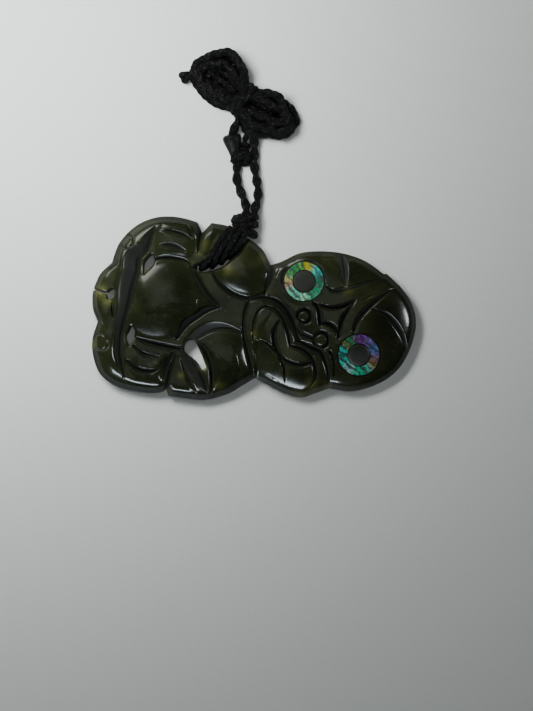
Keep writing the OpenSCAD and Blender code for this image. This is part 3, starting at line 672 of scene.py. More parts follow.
# %% The cuts: x, y, floor height, spread to the left and to the right for each mm of rise
cuts = [
    # Belly, upper and lower arm side, and the groove under the thigh
    [(191, 266, 5.2, 1.5, 3), (197, 274, 4.5, 1.5, 3), (204, 287, 4.4, 1.5, 3), (212, 298, 4.5, 1.5, 3),
     (220, 307, 5.0, 1.5, 2)],
    [(220, 307, 5.0, 1.5, 2), (208, 311, 4.63, 1.5, 3), (198, 317.3, 4.5, 1.5, 3.1),
     (187, 325.2, 4.4, 1.5, 3), (177, 338.2, 4.6, 1.5, 2.1)],
    [(149, 262, 4.5, 2, 2), (160, 258.5, 4.6, 2, 1.5), (174, 258.5, 4.74, 2, 1.5), (186, 261, 4.9, 2, 1.5),
     (192, 266, 5.4, 2, 1.5)],
    # Inner side of the legs
    [(157, 223, 5.74, 2, 3), (151, 236.7, 4.66, 2.2, 3.9), (146.4, 250, 4.19, 2.1, 5.1),
     (139, 258, 4.04, 2.2, 6), (138, 270, 4.1, 2, 6), (133, 285, 4.2, 2, 6), (129, 304, 4.2, 2, 5),
     (124, 322, 4.1, 2.5, 4), (120.5, 336, 4.1, 3, 3), (120, 356, 4.1, 3, 3), (124, 377, 5.2, 2, 2)],
    # Below the belly and across the lower thigh
    [(136, 338, 5.0, 2, 2), (147, 342, 4.3, 2, 2), (163, 346, 4.0, 2, 2), (185, 350, 4.4, 2, 2)],
    [(134, 346, 4.9, 2, 2), (143, 353.5, 4.7, 2, 2), (160, 356, 5.8, 1.5, 2)],
    [(127, 361, 4.7, 2, 2), (138, 369.5, 4.6, 2, 2), (150, 371.5, 5.0, 2, 2), (161, 369, 5.9, 2, 2)],
    # Creases that run to the lower notch
    [(174, 352, 4.7, 2, 2), (168, 363, 4.6, 2, 2.5), (163, 380, 5.2, 2, 2)],
    [(176, 353, 4.7, 2, 2), (170, 371, 4.7, 2, 2), (166, 391, 4.2, 2, 2)],
    # Thigh folds, and the crease to the upper notch
    [(159.8, 230.5, 5.82, 2.1, 3), (171.4, 231.3, 5.36, 2, 3.1), (183.7, 235, 5.41, 1.7, 2.9),
     (191.3, 239.3, 5.76, 1.9, 2)],
    [(160, 245, 5.7, 2, 3), (172.2, 245.5, 5.27, 2, 4.1), (185, 251.3, 5.64, 2, 3)],
    [(186.5, 221, 5.39, 1.9, 1.8), (189, 230.2, 5.48, 1.9, 2), (193, 238, 5.74, 2, 2)],
    [(202, 228.8, 3.56, 2, 2), (200, 240, 4.2, 2, 2), (198, 252, 4.8, 2, 2)],
    # Forearm, both sides
    [(184, 350, 4.0, 2, 4), (193, 362, 3.9, 2, 4), (203, 378, 4.1, 2, 4), (208, 396, 5.2, 2, 3)],
    [(181, 360, 5.2, 2, 3), (187, 377, 5.0, 2, 3), (200, 398, 5.4, 2, 3)],
    # Lower shoulder, left and top
    [(196, 341, 4.6, 2, 2), (206, 353, 4.2, 2, 2), (211, 367, 4.1, 2, 2), (212, 384, 4.3, 2, 2),
     (210, 400, 4.8, 2, 2)],
    [(189, 342, 4.6, 5, 2), (199, 336.5, 4.4, 7, 2), (211, 330.5, 4.4, 7, 2), (226, 328.5, 4.5, 4, 2),
     (245, 333.3, 5.21, 2.1, 1.9)],
    # Upper shoulder, and the valley that the lashing lies in
    [(211, 269, 5.0, 2, 2), (219, 283, 4.5, 2, 2), (233, 294, 4.5, 2, 2), (250, 298.5, 4.6, 2, 2),
     (266, 293, 4.8, 2, 2)],
    [(251, 232, 3.6, 2, 4), (243, 245, 3.44, 2, 4), (233, 254, 3.18, 1.9, 4), (220, 264, 3.0, 2, 3),
     (204, 268, 3.2, 2, 3), (189, 267, 5.2, 2, 2)],
    # Neck, and the gap between shoulder and head
    [(250, 299, 4.8, 2, 2), (245, 312, 4.73, 2, 2), (243.2, 330, 4.72, 2.1, 2), (248, 354, 4.5, 2, 2),
     (254.5, 380, 4.0, 2, 2)],
    [(273, 262, 3.6, 3, 3), (272, 275, 4.1, 3, 3), (264, 297, 4.8, 2, 2)],
    # Lips, outside and inside
    [(249, 301, 4.9, 2, 2), (260, 297.5, 4.4, 2, 2), (273.5, 299.8, 4.2, 2, 2.2),
     (286, 309.5, 4.07, 2.1, 2.2), (294, 324.5, 4, 2, 2.2), (299, 343, 4.8, 2, 2)],
    [(253, 341.3, 5.43, 1.5, 2), (253.3, 325, 5.17, 1.5, 2), (259, 310, 5.2, 1.5, 2),
     (267, 306.5, 5.2, 1.5, 2), (279, 313, 5.1, 1.5, 2), (287.2, 329, 5.07, 1.5, 2),
     (290.5, 347, 5.5, 1.5, 2)],
    [(253.2, 338, 5.42, 2.1, 1.4), (254.5, 354, 5.1, 2, 1.5), (262, 369.5, 4.9, 2, 1.5),
     (275, 379.5, 4.9, 2, 1.5), (286, 386, 5.2, 2, 1.5)],
    [(291, 346, 5.4, 1.5, 2), (304.4, 350.7, 4.8, 1.5, 2), (314, 362, 4.7, 1.5, 2),
     (316, 377.2, 4.74, 1.4, 2.1), (306, 393, 5.2, 1.5, 2)],
    [(297.3, 341.2, 4.74, 2, 2), (312, 348.5, 4.1, 2, 2), (322, 354, 4.3, 2, 2),
     (327.5, 369.8, 4.77, 1.9, 2), (329.5, 390.3, 4.28, 2, 2.2)],
    # Tongue and the lines beside it
    [(280, 320, 5.6, 1.5, 2), (274, 332, 5.0, 1.5, 2), (275.5, 347, 4.9, 1.5, 2), (285, 360, 4.9, 1.5, 2),
     (298, 365, 4.9, 1.5, 2), (313, 362, 5.4, 1.5, 2)],
    [(254, 337.7, 5.64, 1.5, 1.5), (265, 342.5, 5.26, 1.4, 1.5), (276, 352, 5.1, 1.5, 1.5)],
    [(278, 354, 5.1, 1.5, 1.5), (284, 368, 5.0, 1.5, 1.5), (285, 385, 5.2, 1.5, 1.5)],
    # Nose and the leaf between the brows
    [(310, 299.5, 5.6, 1.4, 1.5), (318, 308.3, 5.03, 1.5, 1.6), (320, 324, 5, 1.6, 1.5)],
    [(296, 321, 5.14, 2, 2.1), (300, 333, 4.42, 2, 2.6), (313, 339.2, 4.9, 2, 2)],
    [(321, 306, 5.53, 1.5, 1.6), (332, 308.3, 5, 1.5, 1.5), (344.8, 305.8, 5.03, 1.4, 1.5),
     (355, 300.5, 6, 1.5, 1.5)],
    [(354, 302, 6, 1.5, 1.5), (343, 318, 5.0, 1.5, 1.5), (338, 337, 5.4, 1.5, 1.5)],
    [(320.5, 323, 5.32, 1.5, 1.5), (330.3, 325, 4.93, 1.5, 2), (338, 332, 5, 1.5, 1.6)],
    # Eye rim, forehead wedge, brow and temple
    [(272, 286, 5.0, 2, 2), (281.2, 267, 4.8, 2, 2), (294.7, 257.7, 4.81, 1.8, 1.7),
     (312, 255.4, 5.39, 2.1, 2)],
    [(342, 249, 3.4, 5, 4), (344.5, 266, 4.5, 4.5, 3), (345.2, 289.7, 6.2, 3, 2)],
    [(324.2, 281.8, 6.04, 2, 1.4), (332, 291.3, 5.63, 3, 1.5), (347, 290.5, 5.48, 4, 1.5),
     (363.6, 284.8, 5.4, 3.9, 1.4), (387, 276.5, 4.9, 3, 1.5)],
    [(403, 284, 4.2, 2, 2), (389, 291.5, 4.88, 2.1, 1.9), (371, 305, 5.2, 2, 2), (358, 319.5, 5.4, 2, 2),
     (352.5, 334, 5.9, 2, 2)],
    [(373, 309.3, 5.9, 2, 2), (386.7, 316, 4.91, 2.9, 1.9), (398.1, 328.5, 4.3, 3.1, 1.9),
     (405, 341.7, 4, 3.1, 2.1), (410, 357, 3.6, 3, 2)],
    # Toe lines
    [(109.7, 269, 4.88, 2.1, 2.1), (116.4, 264.4, 5.34, 1.9, 1.9), (121.6, 262.2, 6.46, 1.9, 2)],
    [(93, 306, 4.2, 2, 2), (98, 316, 4.4, 2, 2), (104, 324, 5.6, 2, 2)],
    [(112, 303, 5.6, 1.5, 1.5), (112, 310, 5.0, 1.5, 1.5), (113.5, 317, 5.8, 1.5, 1.5)],
    [(336.5, 250, 4.2, 2, 3), (340, 264, 5.0, 2, 3), (345, 287, 6.2, 1.5, 2)],
    # Fine creases: the flank, the shoulder, the cheek and the forearm
    [(186, 270, 6.9, 1.2, 1.4), (196, 288, 6.7, 1.2, 1.4), (197, 304, 6.6, 1.2, 1.4),
     (186, 320, 6.4, 1.2, 1.4), (163, 338, 5.9, 1.2, 1.4)],
    [(229, 340, 6.2, 1.3, 1.6), (237, 352, 6.3, 1.3, 1.6), (240, 368, 6.2, 1.3, 1.6),
     (236, 384, 5.6, 1.3, 1.6)],
    [(330, 352, 5.2, 1.2, 1.2), (334, 362, 5.2, 1.2, 1.2), (334, 376, 5.2, 1.2, 1.2)],
    [(364, 300, 6.2, 1.4, 1.6), (378, 293, 5.9, 1.4, 1.6), (396, 290, 5.1, 1.4, 1.6)],
]
# Round cuts at the nostrils: x, y, radius, floor height, spread
ring_cuts = [(304, 316.3, 6.5, 5, 1.5), (321, 340, 7.3, 5.1, 1.6)]
# Fine round cuts on the knees: x, y, radius, depth, half width
knee_cuts = [(101, 342, 8.2, 0.42, 1.8), (127, 241.4, 6.6, 0.5, 1.9)]


# %% Cutting
cut_rise = 2.6
ring_rise = 1.6
floor_round = 0.11
cut_soft = 0.14


def nearest_on(points, line):
    """For each point: the line's values at the nearest place, the distance, and 1 on the left side."""
    best = np.full(len(points), np.inf)
    values = np.zeros((len(points), line.shape[1] - 2))
    left = np.zeros(len(points))
    for p, q in zip(line[:-1], line[1:]):
        way = q[:2] - p[:2]
        away = points - p[:2]
        share = np.clip(away @ way / max(way @ way, 1e-9), 0, 1)
        far = np.hypot(*(away - share[:, None] * way).T)
        closer = far < best
        best = np.where(closer, far, best)
        values[closer] = p[2:] + share[closer, None] * (q[2:] - p[2:])
        left = np.where(closer, way[0] * away[:, 1] - way[1] * away[:, 0] < 0, left)
    return values, best, left


def groove_height(floor, rise):
    """The height in a groove, with a floor that is a little round."""
    return floor + np.hypot(rise, floor_round) - floor_round


def cut_height(points, height, rows):
    """The height after one cut of the gouge."""
    line = open_curve(rows, 5)
    reach = max(max(row[3:]) for row in rows) * cut_rise
    low, high = line[:, :2].min(axis=0) - reach, line[:, :2].max(axis=0) + reach
    near = np.where(((points > low) & (points < high)).all(axis=1))[0]
    values, far, left = nearest_on(points[near], line)
    rise = far / np.where(left > 0.5, values[:, 1], values[:, 2])
    lowered = lower_of(height[near], groove_height(values[:, 0], rise), cut_soft)
    height[near] = np.where(rise < cut_rise, lowered, height[near])
    return height


def ring_cut_height(points, height, x, y, radius, floor, spread):
    """The height after a round cut."""
    rise = np.abs(np.hypot(points[:, 0] - x, points[:, 1] - y) - radius) / spread
    return np.where(rise < ring_rise, lower_of(height, groove_height(floor, rise), cut_soft), height)


# %% [markdown]
# ## The eyes' places
# Each eye is a ring of shell in a round pocket, and a core of stone stands in its middle as the pupil. The
# pocket leans a little, because the face falls away to the sides. The stone round a pocket is ground
# flush with the shell.

# %% Where the eyes sit
eye_places = {
    "upper": dict(centre=(304, 281.5), z=5.65, way=115, lean=10, radius=4.95),
    "lower": dict(centre=(358.7, 355), z=6.12, way=-68, lean=8, radius=5.15)}
pupil_radius = 2.7
shell_thick = 0.8
bed_width = 0.3
fit_gap = 0.05
ground_beside = 0.9


def eye_frame(eye):
    """The matrix that takes a point on the eye, in metres, to the model."""
    turn = Matrix.Rotation(math.radians(eye["way"]), 4, "Z")
    lean = Matrix.Rotation(math.radians(eye["lean"]), 4, "Y")
    return Matrix.Translation(at(*eye["centre"], eye["z"])) @ (turn @ lean)


def rim_radius(eye):
    """The radius in mm of the stone's pocket for an eye."""
    return eye["radius"] + bed_width + fit_gap


def flush_with_eye(points, height, eye):
    """Grinds the stone round an eye level with its face."""
    normal = eye_frame(eye).to_3x3() @ Vector((0, 0, 1))
    away = (points - eye["centre"]) * (step, -step)
    face = eye["z"] - (away[:, 0] * normal.x + away[:, 1] * normal.y) / normal.z
    far = np.hypot(away[:, 0], away[:, 1]) - eye["radius"] - bed_width
    share = np.clip(far / ground_beside, 0, 1)
    share = share * share * (3 - 2 * share)
    return face * (1 - share) + height * share


# %% The height of the finished carving
edge_round = 9.0
hole_round = 2.5
hole_drop = 0.6


def tree_of(spots):
    """A quick search for the nearest of many spots on the drawing."""
    tree = kdtree.KDTree(len(spots))
    for i, (x, y) in enumerate(spots):
        tree.insert((x, y, 0), i)
    tree.balance()
    return tree


def distance_tree(lines):
    """A quick search for the distance to closed lines."""
    return tree_of(np.concatenate([even(np.vstack([line, line[:1]]), 0.2) for line in lines]))


def distance_to(points, tree):
    """How far each point is from the nearest spot of a tree."""
    return np.array([tree.find((x, y, 0))[2] for x, y in points])


edge_tree = distance_tree([edge_line])
hole_tree = distance_tree(hole_lines)


def quarter_round(share):
    """A quarter of a circle, from 0 at the edge to 1 inside."""
    share = np.clip(share, 0, 1)
    return np.sqrt(1 - (1 - share) ** 2)


def carved_height(points):
    """The height of the front in mm at points of the drawing, and how deep the cuts are there."""
    cover = np.maximum(*(dome_height(points, *shell, lowest=side_wall) for shell in shells))
    form = np.where(points[:, 0] < ground_end, ground_top, 1.0)
    for dome in domes:
        form = higher_of(form, dome_height(points, *dome), 0.3)
    for rows in (leg, toes, forearm, upper_arm):
        form = higher_of(form, limb_height(points, rows), 0.3)
    plain = lower_of(cover, form, 0.7)
    height = plain.copy()
    for rows in cuts:
        height = cut_height(points, height, rows)
    for row in ring_cuts:
        height = ring_cut_height(points, height, *row)
    for eye in eye_places.values():
        height = flush_with_eye(points, height, eye)
    height = side_wall + (height - side_wall) * quarter_round(distance_to(points, edge_tree) / edge_round)
    for x, y, radius, deep, half in knee_cuts:
        far = np.abs(np.hypot(points[:, 0] - x, points[:, 1] - y) - radius) / half
        height -= deep * np.clip(1 - far, 0, 1)
    height -= hole_drop * (1 - quarter_round(distance_to(points, hole_tree) / hole_round))
    return height, plain - height


# %% [markdown]
# ## The mesh of the front
# A plain grid would leave stairs along the edge, so the front is a triangulation: rows of points that run
# beside the edge and the holes, a row along the floor of each cut, and even points in between. The
# triangulation joins them without overlaps, and the heights then lift it.

# %% Points of the front
mesh_spacing = 0.86
beside_spacing = 0.9
beside_distances = (0.35, 0.9, 1.6)
loop_spacing = 0.8
floor_spacing = 0.7
clear_of_edges = 2.1
clear_of_floors = 0.5
ring_points = 60
rim_corners = 72


def closed(line, spacing):
    """A closed line with its points at an even spacing."""
    return even(np.vstack([line, line[:1]]), spacing)[:-1]


def beside(line, distance, tree):
    """Points at a distance inside or outside a closed line, without those that come too near to it."""
    line = closed(line, beside_spacing)
    way = np.roll(line, -1, axis=0) - np.roll(line, 1, axis=0)
    out = np.column_stack([-way[:, 1], way[:, 0]]) / np.linalg.norm(way, axis=1)[:, None]
    moved = np.concatenate([line + out * distance, line - out * distance])
    return moved[distance_to(moved, tree) > distance * 0.93]


def inside(points, line):
    """True for points inside a closed line."""
    odd = np.zeros(len(points), bool)
    x, y = points[:, 0], points[:, 1]
    for (ax, ay), (bx, by) in zip(line, np.roll(line, -1, axis=0)):
        if ay != by:
            odd ^= ((ay > y) != (by > y)) & (x < (bx - ax) * (y - ay) / (by - ay) + ax)
    return odd


def on_drawing(points):
    """Points of the model as x and y of the drawing."""
    points = np.asarray(points)
    return np.column_stack([points[:, 0] / (step * mm) + grid_x, grid_y - points[:, 1] / (step * mm)])


def eye_circle(eye):
    """The rim of an eye's pocket as a closed line on the drawing."""
    place = eye_frame(eye)
    radius = rim_radius(eye) * mm
    angles = [k / rim_corners * math.tau for k in range(rim_corners)]
    return on_drawing([place @ Vector((radius * math.cos(a), radius * math.sin(a), 0)) for a in angles])


def even_cells(line, low, high):
    """Staggered even points inside a closed line."""
    columns = np.arange(low[0], high[0], mesh_spacing)
    rows = np.arange(low[1], high[1], mesh_spacing * math.sqrt(3) / 2)
    x, y = np.meshgrid(columns, rows)
    x = x + (np.arange(len(rows)) % 2)[:, None] * mesh_spacing / 2
    points = np.column_stack([x.ravel(), y.ravel()])
    return points[inside(points, line)]


ring_angles = np.linspace(0, math.tau, ring_points)[:-1]
eye_loops = [eye_circle(eye) for eye in eye_places.values()]
loops = [closed(line, loop_spacing) for line in [edge_line, *hole_lines]] + eye_loops
loop_tree = distance_tree(loops)
rows_beside = np.concatenate([
    beside(line, distance, loop_tree) for line in loops[:-len(eye_loops)] for distance in beside_distances])
floors = np.concatenate(
    [even(open_curve(rows, 6)[:, :2], floor_spacing) for rows in cuts]
    + [np.column_stack([x + r * np.cos(ring_angles), y + r * np.sin(ring_angles)])
       for x, y, r, *_ in ring_cuts + knee_cuts])
floors = floors[distance_to(floors, loop_tree) > clear_of_edges]
cells = even_cells(edge_line, edge_line.min(axis=0), edge_line.max(axis=0))
cells = cells[distance_to(cells, loop_tree) > clear_of_edges]
cells = cells[distance_to(cells, tree_of(floors)) > clear_of_floors]
print(len(cells), "even points,", len(floors), "along the cuts,", len(rows_beside), "beside the edges")

# %% The triangulation
corner_points = np.concatenate(loops)
edges = []
start = 0
for loop in loops:
    count = len(loop)
    edges += [(start + k, start + (k + 1) % count) for k in range(count)]
    start += count
flat_points = np.concatenate([corner_points, rows_beside, floors, cells])
flat, _, faces, *_ = geometry.delaunay_2d_cdt([Vector(p) for p in flat_points], edges, [], 0, 1e-5)
flat, faces = np.array(flat), np.array(faces)
middles = flat[faces].mean(axis=1)
kept = inside(middles, loops[0])
for loop in loops[1:]:
    kept &= ~inside(middles, loop)
faces = faces[kept]
used, faces = np.unique(faces, return_inverse=True)
flat = flat[used]
faces = faces.reshape(-1, 3)
front_height, _ = carved_height(flat)
print(len(faces), "triangles on the front, up to", front_height.max().round(2), "mm high")

# %% [markdown]
# ## Walls, back and pockets
# The front's open edges are pulled down to the flat back, row by row, and the back is filled. The rim of
# each eye is pulled down to the floor of its pocket, in to the pupil and up again. Last the seat of the
# lashing is cut out of the back with a Boolean, which makes a clean corner where two walls meet.

# %% Walls and back
back_bevel = 0.35
wall_rows = (2.0, 1.1, back_bevel)
rim_play = 0.3
stone_mesh = bpy.data.meshes.new("tiki_stone")
build = bmesh.new()
places = at_all(np.column_stack([flat, front_height]))
front_verts = [build.verts.new(place) for place in places]
for a, b, c in faces:
    build.faces.new((front_verts[c], front_verts[b], front_verts[a]))
bmesh.ops.recalc_face_normals(build, faces=build.faces)
if sum(face.normal.z for face in build.faces) < 0:
    bmesh.ops.reverse_faces(build, faces=build.faces)


def pull(edges, move):
    """Extrudes open edges and moves the new points; returns the new open edges."""
    made = bmesh.ops.extrude_edge_only(build, edges=edges)["geom"]
    new_edges = [part for part in made if isinstance(part, bmesh.types.BMEdge)]
    for vert in {vert for edge in new_edges for vert in edge.verts}:
        vert.co = move(vert.co)
    return [edge for edge in new_edges if edge.is_boundary]


def in_eye(point, eye):
    """True for a point on or inside the rim of an eye's pocket."""
    away = eye_frame(eye).inverted() @ point
    return math.hypot(away.x, away.y) < (eye["radius"] + bed_width + rim_play) * mm


open_edges = [edge for edge in build.edges if edge.is_boundary]
eye_rims = {name: [edge for edge in open_edges if all(in_eye(vert.co, eye) for vert in edge.verts)]
            for name, eye in eye_places.items()}
rim_edges = {edge for rim in eye_rims.values() for edge in rim}
wall = [edge for edge in open_edges if edge not in rim_edges]
for z in wall_rows:
    wall = pull(wall, lambda co, z=z: Vector((co.x, co.y, min(co.z, z * mm))))
wall = pull(wall, lambda co: Vector((co.x, co.y, 0)))
bmesh.ops.triangle_fill(build, edges=wall, use_beauty=True, use_dissolve=False)
print("walls and back:", len(build.faces), "faces so far")

# %% The eye pockets and the pupils
pocket_depth = shell_thick + bed_width
pupil_bulge = 0.14
pupil_edge = 0.06
for name, eye in eye_places.items():
    place = eye_frame(eye)
    back = place.inverted()

    def ring(radius, depth):
        """Moves a point of the pocket to a radius and a depth on the eye."""
        def move(point):
            flat_way = back @ point
            flat_way.z = 0
            return place @ (flat_way.normalized() * radius * mm + Vector((0, 0, -depth * mm)))
        return move

    rim = pull(eye_rims[name], ring(rim_radius(eye), pocket_depth))
    rim = pull(rim, ring(pupil_radius, pocket_depth))
    for share in (1, 0.93, 0.75, 0.5, 0.25):
        rise = pupil_bulge * (1 - share * share) - (pupil_edge if share == 1 else 0)
        rim = pull(rim, ring(pupil_radius * share, -rise))
    bmesh.ops.contextual_create(build, geom=rim)
print("the stone has", len(build.faces), "faces")

# %% The seat of the lashing
seat = ((220, 263), (247, 222))
seat_width = 7.2
seat_depth = 1.45
sharp_corner = math.radians(50)
bmesh.ops.remove_doubles(build, verts=build.verts, dist=same_place)
bmesh.ops.recalc_face_normals(build, faces=build.faces)
build.to_mesh(stone_mesh)
build.free()
stone = bpy.data.objects.new("tiki_stone", stone_mesh)
bpy.context.scene.collection.objects.link(stone)

cutter_mesh = bpy.data.meshes.new("seat_cutter")
build = bmesh.new()
corners = [
    build.verts.new(at(*end, z) + Vector((math.cos(a), math.sin(a), 0)) * seat_width / 2 * mm)
    for end in seat for z in (-1, seat_depth) for a in np.linspace(0, math.tau, 49)[:-1]]
hull = bmesh.ops.convex_hull(build, input=corners)
left_over = {part for part in hull["geom_interior"] if isinstance(part, bmesh.types.BMVert)}
bmesh.ops.delete(build, geom=list(left_over), context="VERTS")
bmesh.ops.recalc_face_normals(build, faces=build.faces)
build.to_mesh(cutter_mesh)
build.free()
cutter = bpy.data.objects.new("seat_cutter", cutter_mesh)
bpy.context.scene.collection.objects.link(cutter)
cut = stone.modifiers.new("seat", "BOOLEAN")
cut.object = cutter
cut.operation = "DIFFERENCE"
cut.solver = "EXACT"
finished = bpy.data.meshes.new_from_object(stone.evaluated_get(bpy.context.evaluated_depsgraph_get()))
stone.modifiers.clear()
stone.data = finished
bpy.data.objects.remove(cutter)
finished.validate()
finished.shade_smooth()
finished.set_sharp_from_angle(angle=sharp_corner)
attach(stone, "root")
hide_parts("tiki_body")
print("with its seat the stone has", len(finished.polygons), "faces")

# %% [markdown]
# ## Thin and dense places
# Light comes through real greenstone where it was ground thin, at the edges and where holes and cuts leave
# little stone, and the middle of the broad forms stays nearly black. How thin, dense or cut a place is
# can't be read from the surface alone, so each corner of the mesh is given three numbers, as a maker would
# mark the stone. The material reads them as attributes, and paints shade into the cuts by the third.

# %% Numbers for each corner of the stone
spot_share = 0.6
# Soft round spots: x, y, reach and amount
glow_spots = [
    (101, 292, 7, 0.9), (108, 302, 5, 0.6), (313, 389, 9, 0.75), (327, 386, 5, 0.6), (220, 386, 6, 0.6),
    (181, 375, 4, 0.5), (189, 345, 5, 0.45), (203, 366, 5, 0.5), (228, 270, 6, 0.45), (205, 245, 7, 0.3),
    (146, 270, 5, 0.4), (129, 338, 5, 0.45), (264, 258, 6, 0.35), (300, 396, 8, 0.5), (240, 243, 6, 0.3),
    (348, 289, 6, 0.4), (255, 334, 6, 0.3), (92, 344, 6, 0.35), (199, 254, 4, 0.5), (168, 393, 5, 0.4)]
dense_spots = [
    (388, 318, 30, 0.9), (180, 292, 22, 0.75), (262, 342, 16, 0.5), (222, 368, 16, 0.5), (300, 380, 16, 0.6),
    (338, 310, 14, 0.4), (252, 280, 14, 0.45), (140, 366, 14, 0.4), (330, 370, 14, 0.5),
    (304, 281.5, 13, 1.1), (358.7, 355, 13, 1.1)]
# Painted shade on the wedge of the forehead, which also makes it duller
wedge_shade_spots = [(342, 252, 6, 0.8), (343.5, 262, 5, 0.8), (345, 274, 3.5, 0.8)]
places = np.empty(len(finished.vertices) * 3)
finished.vertices.foreach_get("co", places)
places = places.reshape(-1, 3)
drawn = on_drawing(places)


def soft_spots(spots, share):
    """The sum of soft round spots at each corner; their width is a share of their reach."""
    total = np.zeros(len(drawn))
    for x, y, reach, amount in spots:
        away = (drawn[:, 0] - x) ** 2 + (drawn[:, 1] - y) ** 2
        total += amount * np.exp(-away / (2 * (reach * share) ** 2))
    return total


near_edge = np.exp(-distance_to(drawn, edge_tree) / 3.0) + 0.8 * np.exp(-distance_to(drawn, hole_tree) / 2.5)
thin = 0.05 * near_edge + soft_spots(glow_spots, spot_share)
dense = soft_spots(dense_spots, spot_share)
# The cuts get painted shade at the front only, not on the walls, and the wedge on the forehead is painted
# darker still
on_front = np.interp(places[:, 2], (0, side_wall * mm), (0, 1))
_, depth = carved_height(drawn)
depth += soft_spots(wedge_shade_spots, math.sqrt(0.5))
marks = {"thin": np.clip(thin, 0, 1), "dense": np.clip(dense, 0, 1), "depth": np.clip(depth, 0, 3) * on_front}
for name, values in marks.items():
    layer = finished.attributes.new(name, "FLOAT", "POINT")
    layer.data.foreach_set("value", values.astype(np.float32))
print("thin places up to", thin.max().round(2), "and cuts up to", depth.max().round(2), "mm deep")

# %% [markdown]
# ## Arithmetic for materials
# Every material here is a formula of the place on the piece, with no pictures. A small class lets sockets
# be added and multiplied like numbers, and another one holds a material while it is built. This keeps each
# material as short as its description.

# %% Sockets that can be added and multiplied
class Value:
    """A socket of a material. Numbers go through Math nodes, colours and vectors through Vector Math."""

    def __init__(self, tree, socket):
        self.tree = tree
        self.socket = socket

    def join(self, operation, *parts):
        """One Math or Vector Math node with that operation and those parts as inputs."""
        kinds = {part.socket.type for part in parts if isinstance(part, Value)}
        wide = bool(kinds & {"VECTOR", "RGBA"}) or any(isinstance(part, tuple) for part in parts)
        node = self.tree.nodes.new("ShaderNodeVectorMath" if wide else "ShaderNodeMath")
        node.operation = operation
        for socket, part in zip(node.inputs, parts):
            if isinstance(part, Value):
                self.tree.links.new(part.socket, socket)
            else:
                socket.default_value = (part,) * 3 if wide and not isinstance(part, tuple) else part
        return Value(self.tree, node.outputs[0])

    def __add__(self, other):
        return self.join("ADD", self, other)

    def __radd__(self, other):
        return self.join("ADD", other, self)

    def __sub__(self, other):
        return self.join("SUBTRACT", self, other)

    def __rsub__(self, other):
        return self.join("SUBTRACT", other, self)

    def __mul__(self, other):
        return self.join("MULTIPLY", self, other)

    def __rmul__(self, other):
        return self.join("MULTIPLY", other, self)

    def __truediv__(self, other):
        return self.join("DIVIDE", self, other)

    def __rtruediv__(self, other):
        return self.join("DIVIDE", other, self)


class Finish:
    """A material that is being built. Its constants go straight onto the shader."""

    def __init__(self, name, **constants):
        self.material = bpy.data.materials.new(name)
        self.material.use_nodes = True
        self.tree = self.material.node_tree
        self.tree.nodes.clear()
        self.shader = self.tree.nodes.new("ShaderNodeBsdfPrincipled")
        output = self.tree.nodes.new("ShaderNodeOutputMaterial")
        self.tree.links.new(self.shader.outputs[0], output.inputs["Surface"])
        self.wear(**constants)

    def wear(self, **values):
        """Feeds sockets of the shader; their names have _ in place of a space."""
        for key, value in values.items():
            self.feed(self.shader.inputs[key.replace("_", " ")], value)

    def feed(self, socket, value):
        """Links a socket, or sets it to a constant."""
        if isinstance(value, Value):
            self.tree.links.new(value.socket, socket)
        else:
            socket.default_value = value

    def node(self, kind, settings, inputs, output=0):
        """Any other node: its settings first, with a ramp's stops among them, then its inputs."""
        node = self.tree.nodes.new("ShaderNode" + kind)
        for key, value in settings.items():
            if key == "stops":
                ramp = node.color_ramp.elements
                while len(ramp) < len(value):
                    ramp.new(1)
                for stop, (position, colour) in zip(ramp, value):
                    stop.position = position
                    stop.color = (*colour, 1)
            else:
                setattr(node, key, value)
        for key, value in inputs.items():
            self.feed(node.inputs[key], value)
        return Value(self.tree, node.outputs[output])

    def place(self, middle=(0, 0, 0)):
        """The place on the piece in mm from a middle that is given in metres."""
        return (self.node("TexCoord", {}, {}, "Object") - tuple(middle)) * 1000.0

    def clouds(self, place, size, detail=3.0, rough=0.5):
        """Soft noise from 0 to 1 with spots of that size in mm."""
        inputs = {"Vector": place, "Scale": 1 / size, "Detail": detail, "Roughness": rough}
        return self.node("TexNoise", {}, inputs)

    def ramp(self, share, *stops):
        """A colour from a row of stops, each a position and a colour."""
        return self.node("ValToRGB", {"stops": stops}, {"Fac": share})

    def band(self, value, low, high):
        """0 below low, 1 above high and a smooth step between them."""
        inputs = {"Value": value, "From Min": low, "From Max": high}
        return self.node("MapRange", {"interpolation_type": "SMOOTHSTEP"}, inputs)

    def mix(self, share, first, second):
        """The first colour where the share is 0 and the second where it is 1."""
        colours = [(*part, 1) if isinstance(part, tuple) else part for part in (first, second)]
        return self.node("Mix", {"data_type": "RGBA"}, {0: share, 6: colours[0], 7: colours[1]}, 2)

    def painted(self, name):
        """A number that was worked out for each corner of the mesh."""
        return self.node("Attribute", {"attribute_name": name}, {}, "Fac")

    def bump(self, height, depth):
        """Lays a height from 0 to 1 onto the surface, with its depth in mm."""
        inputs = {"Height": height, "Distance": depth * mm, "Strength": 1.0}
        self.wear(Normal=self.node("Bump", {}, inputs, "Normal"))

    def give(self, *names):
        """Puts the material into the only slot of each piece or node."""
        for name in names:
            mesh = bpy.data.objects[name].data
            if mesh.materials:
                mesh.materials[0] = self.material
            else:
                mesh.materials.append(self.material)


print("helpers for materials are ready")
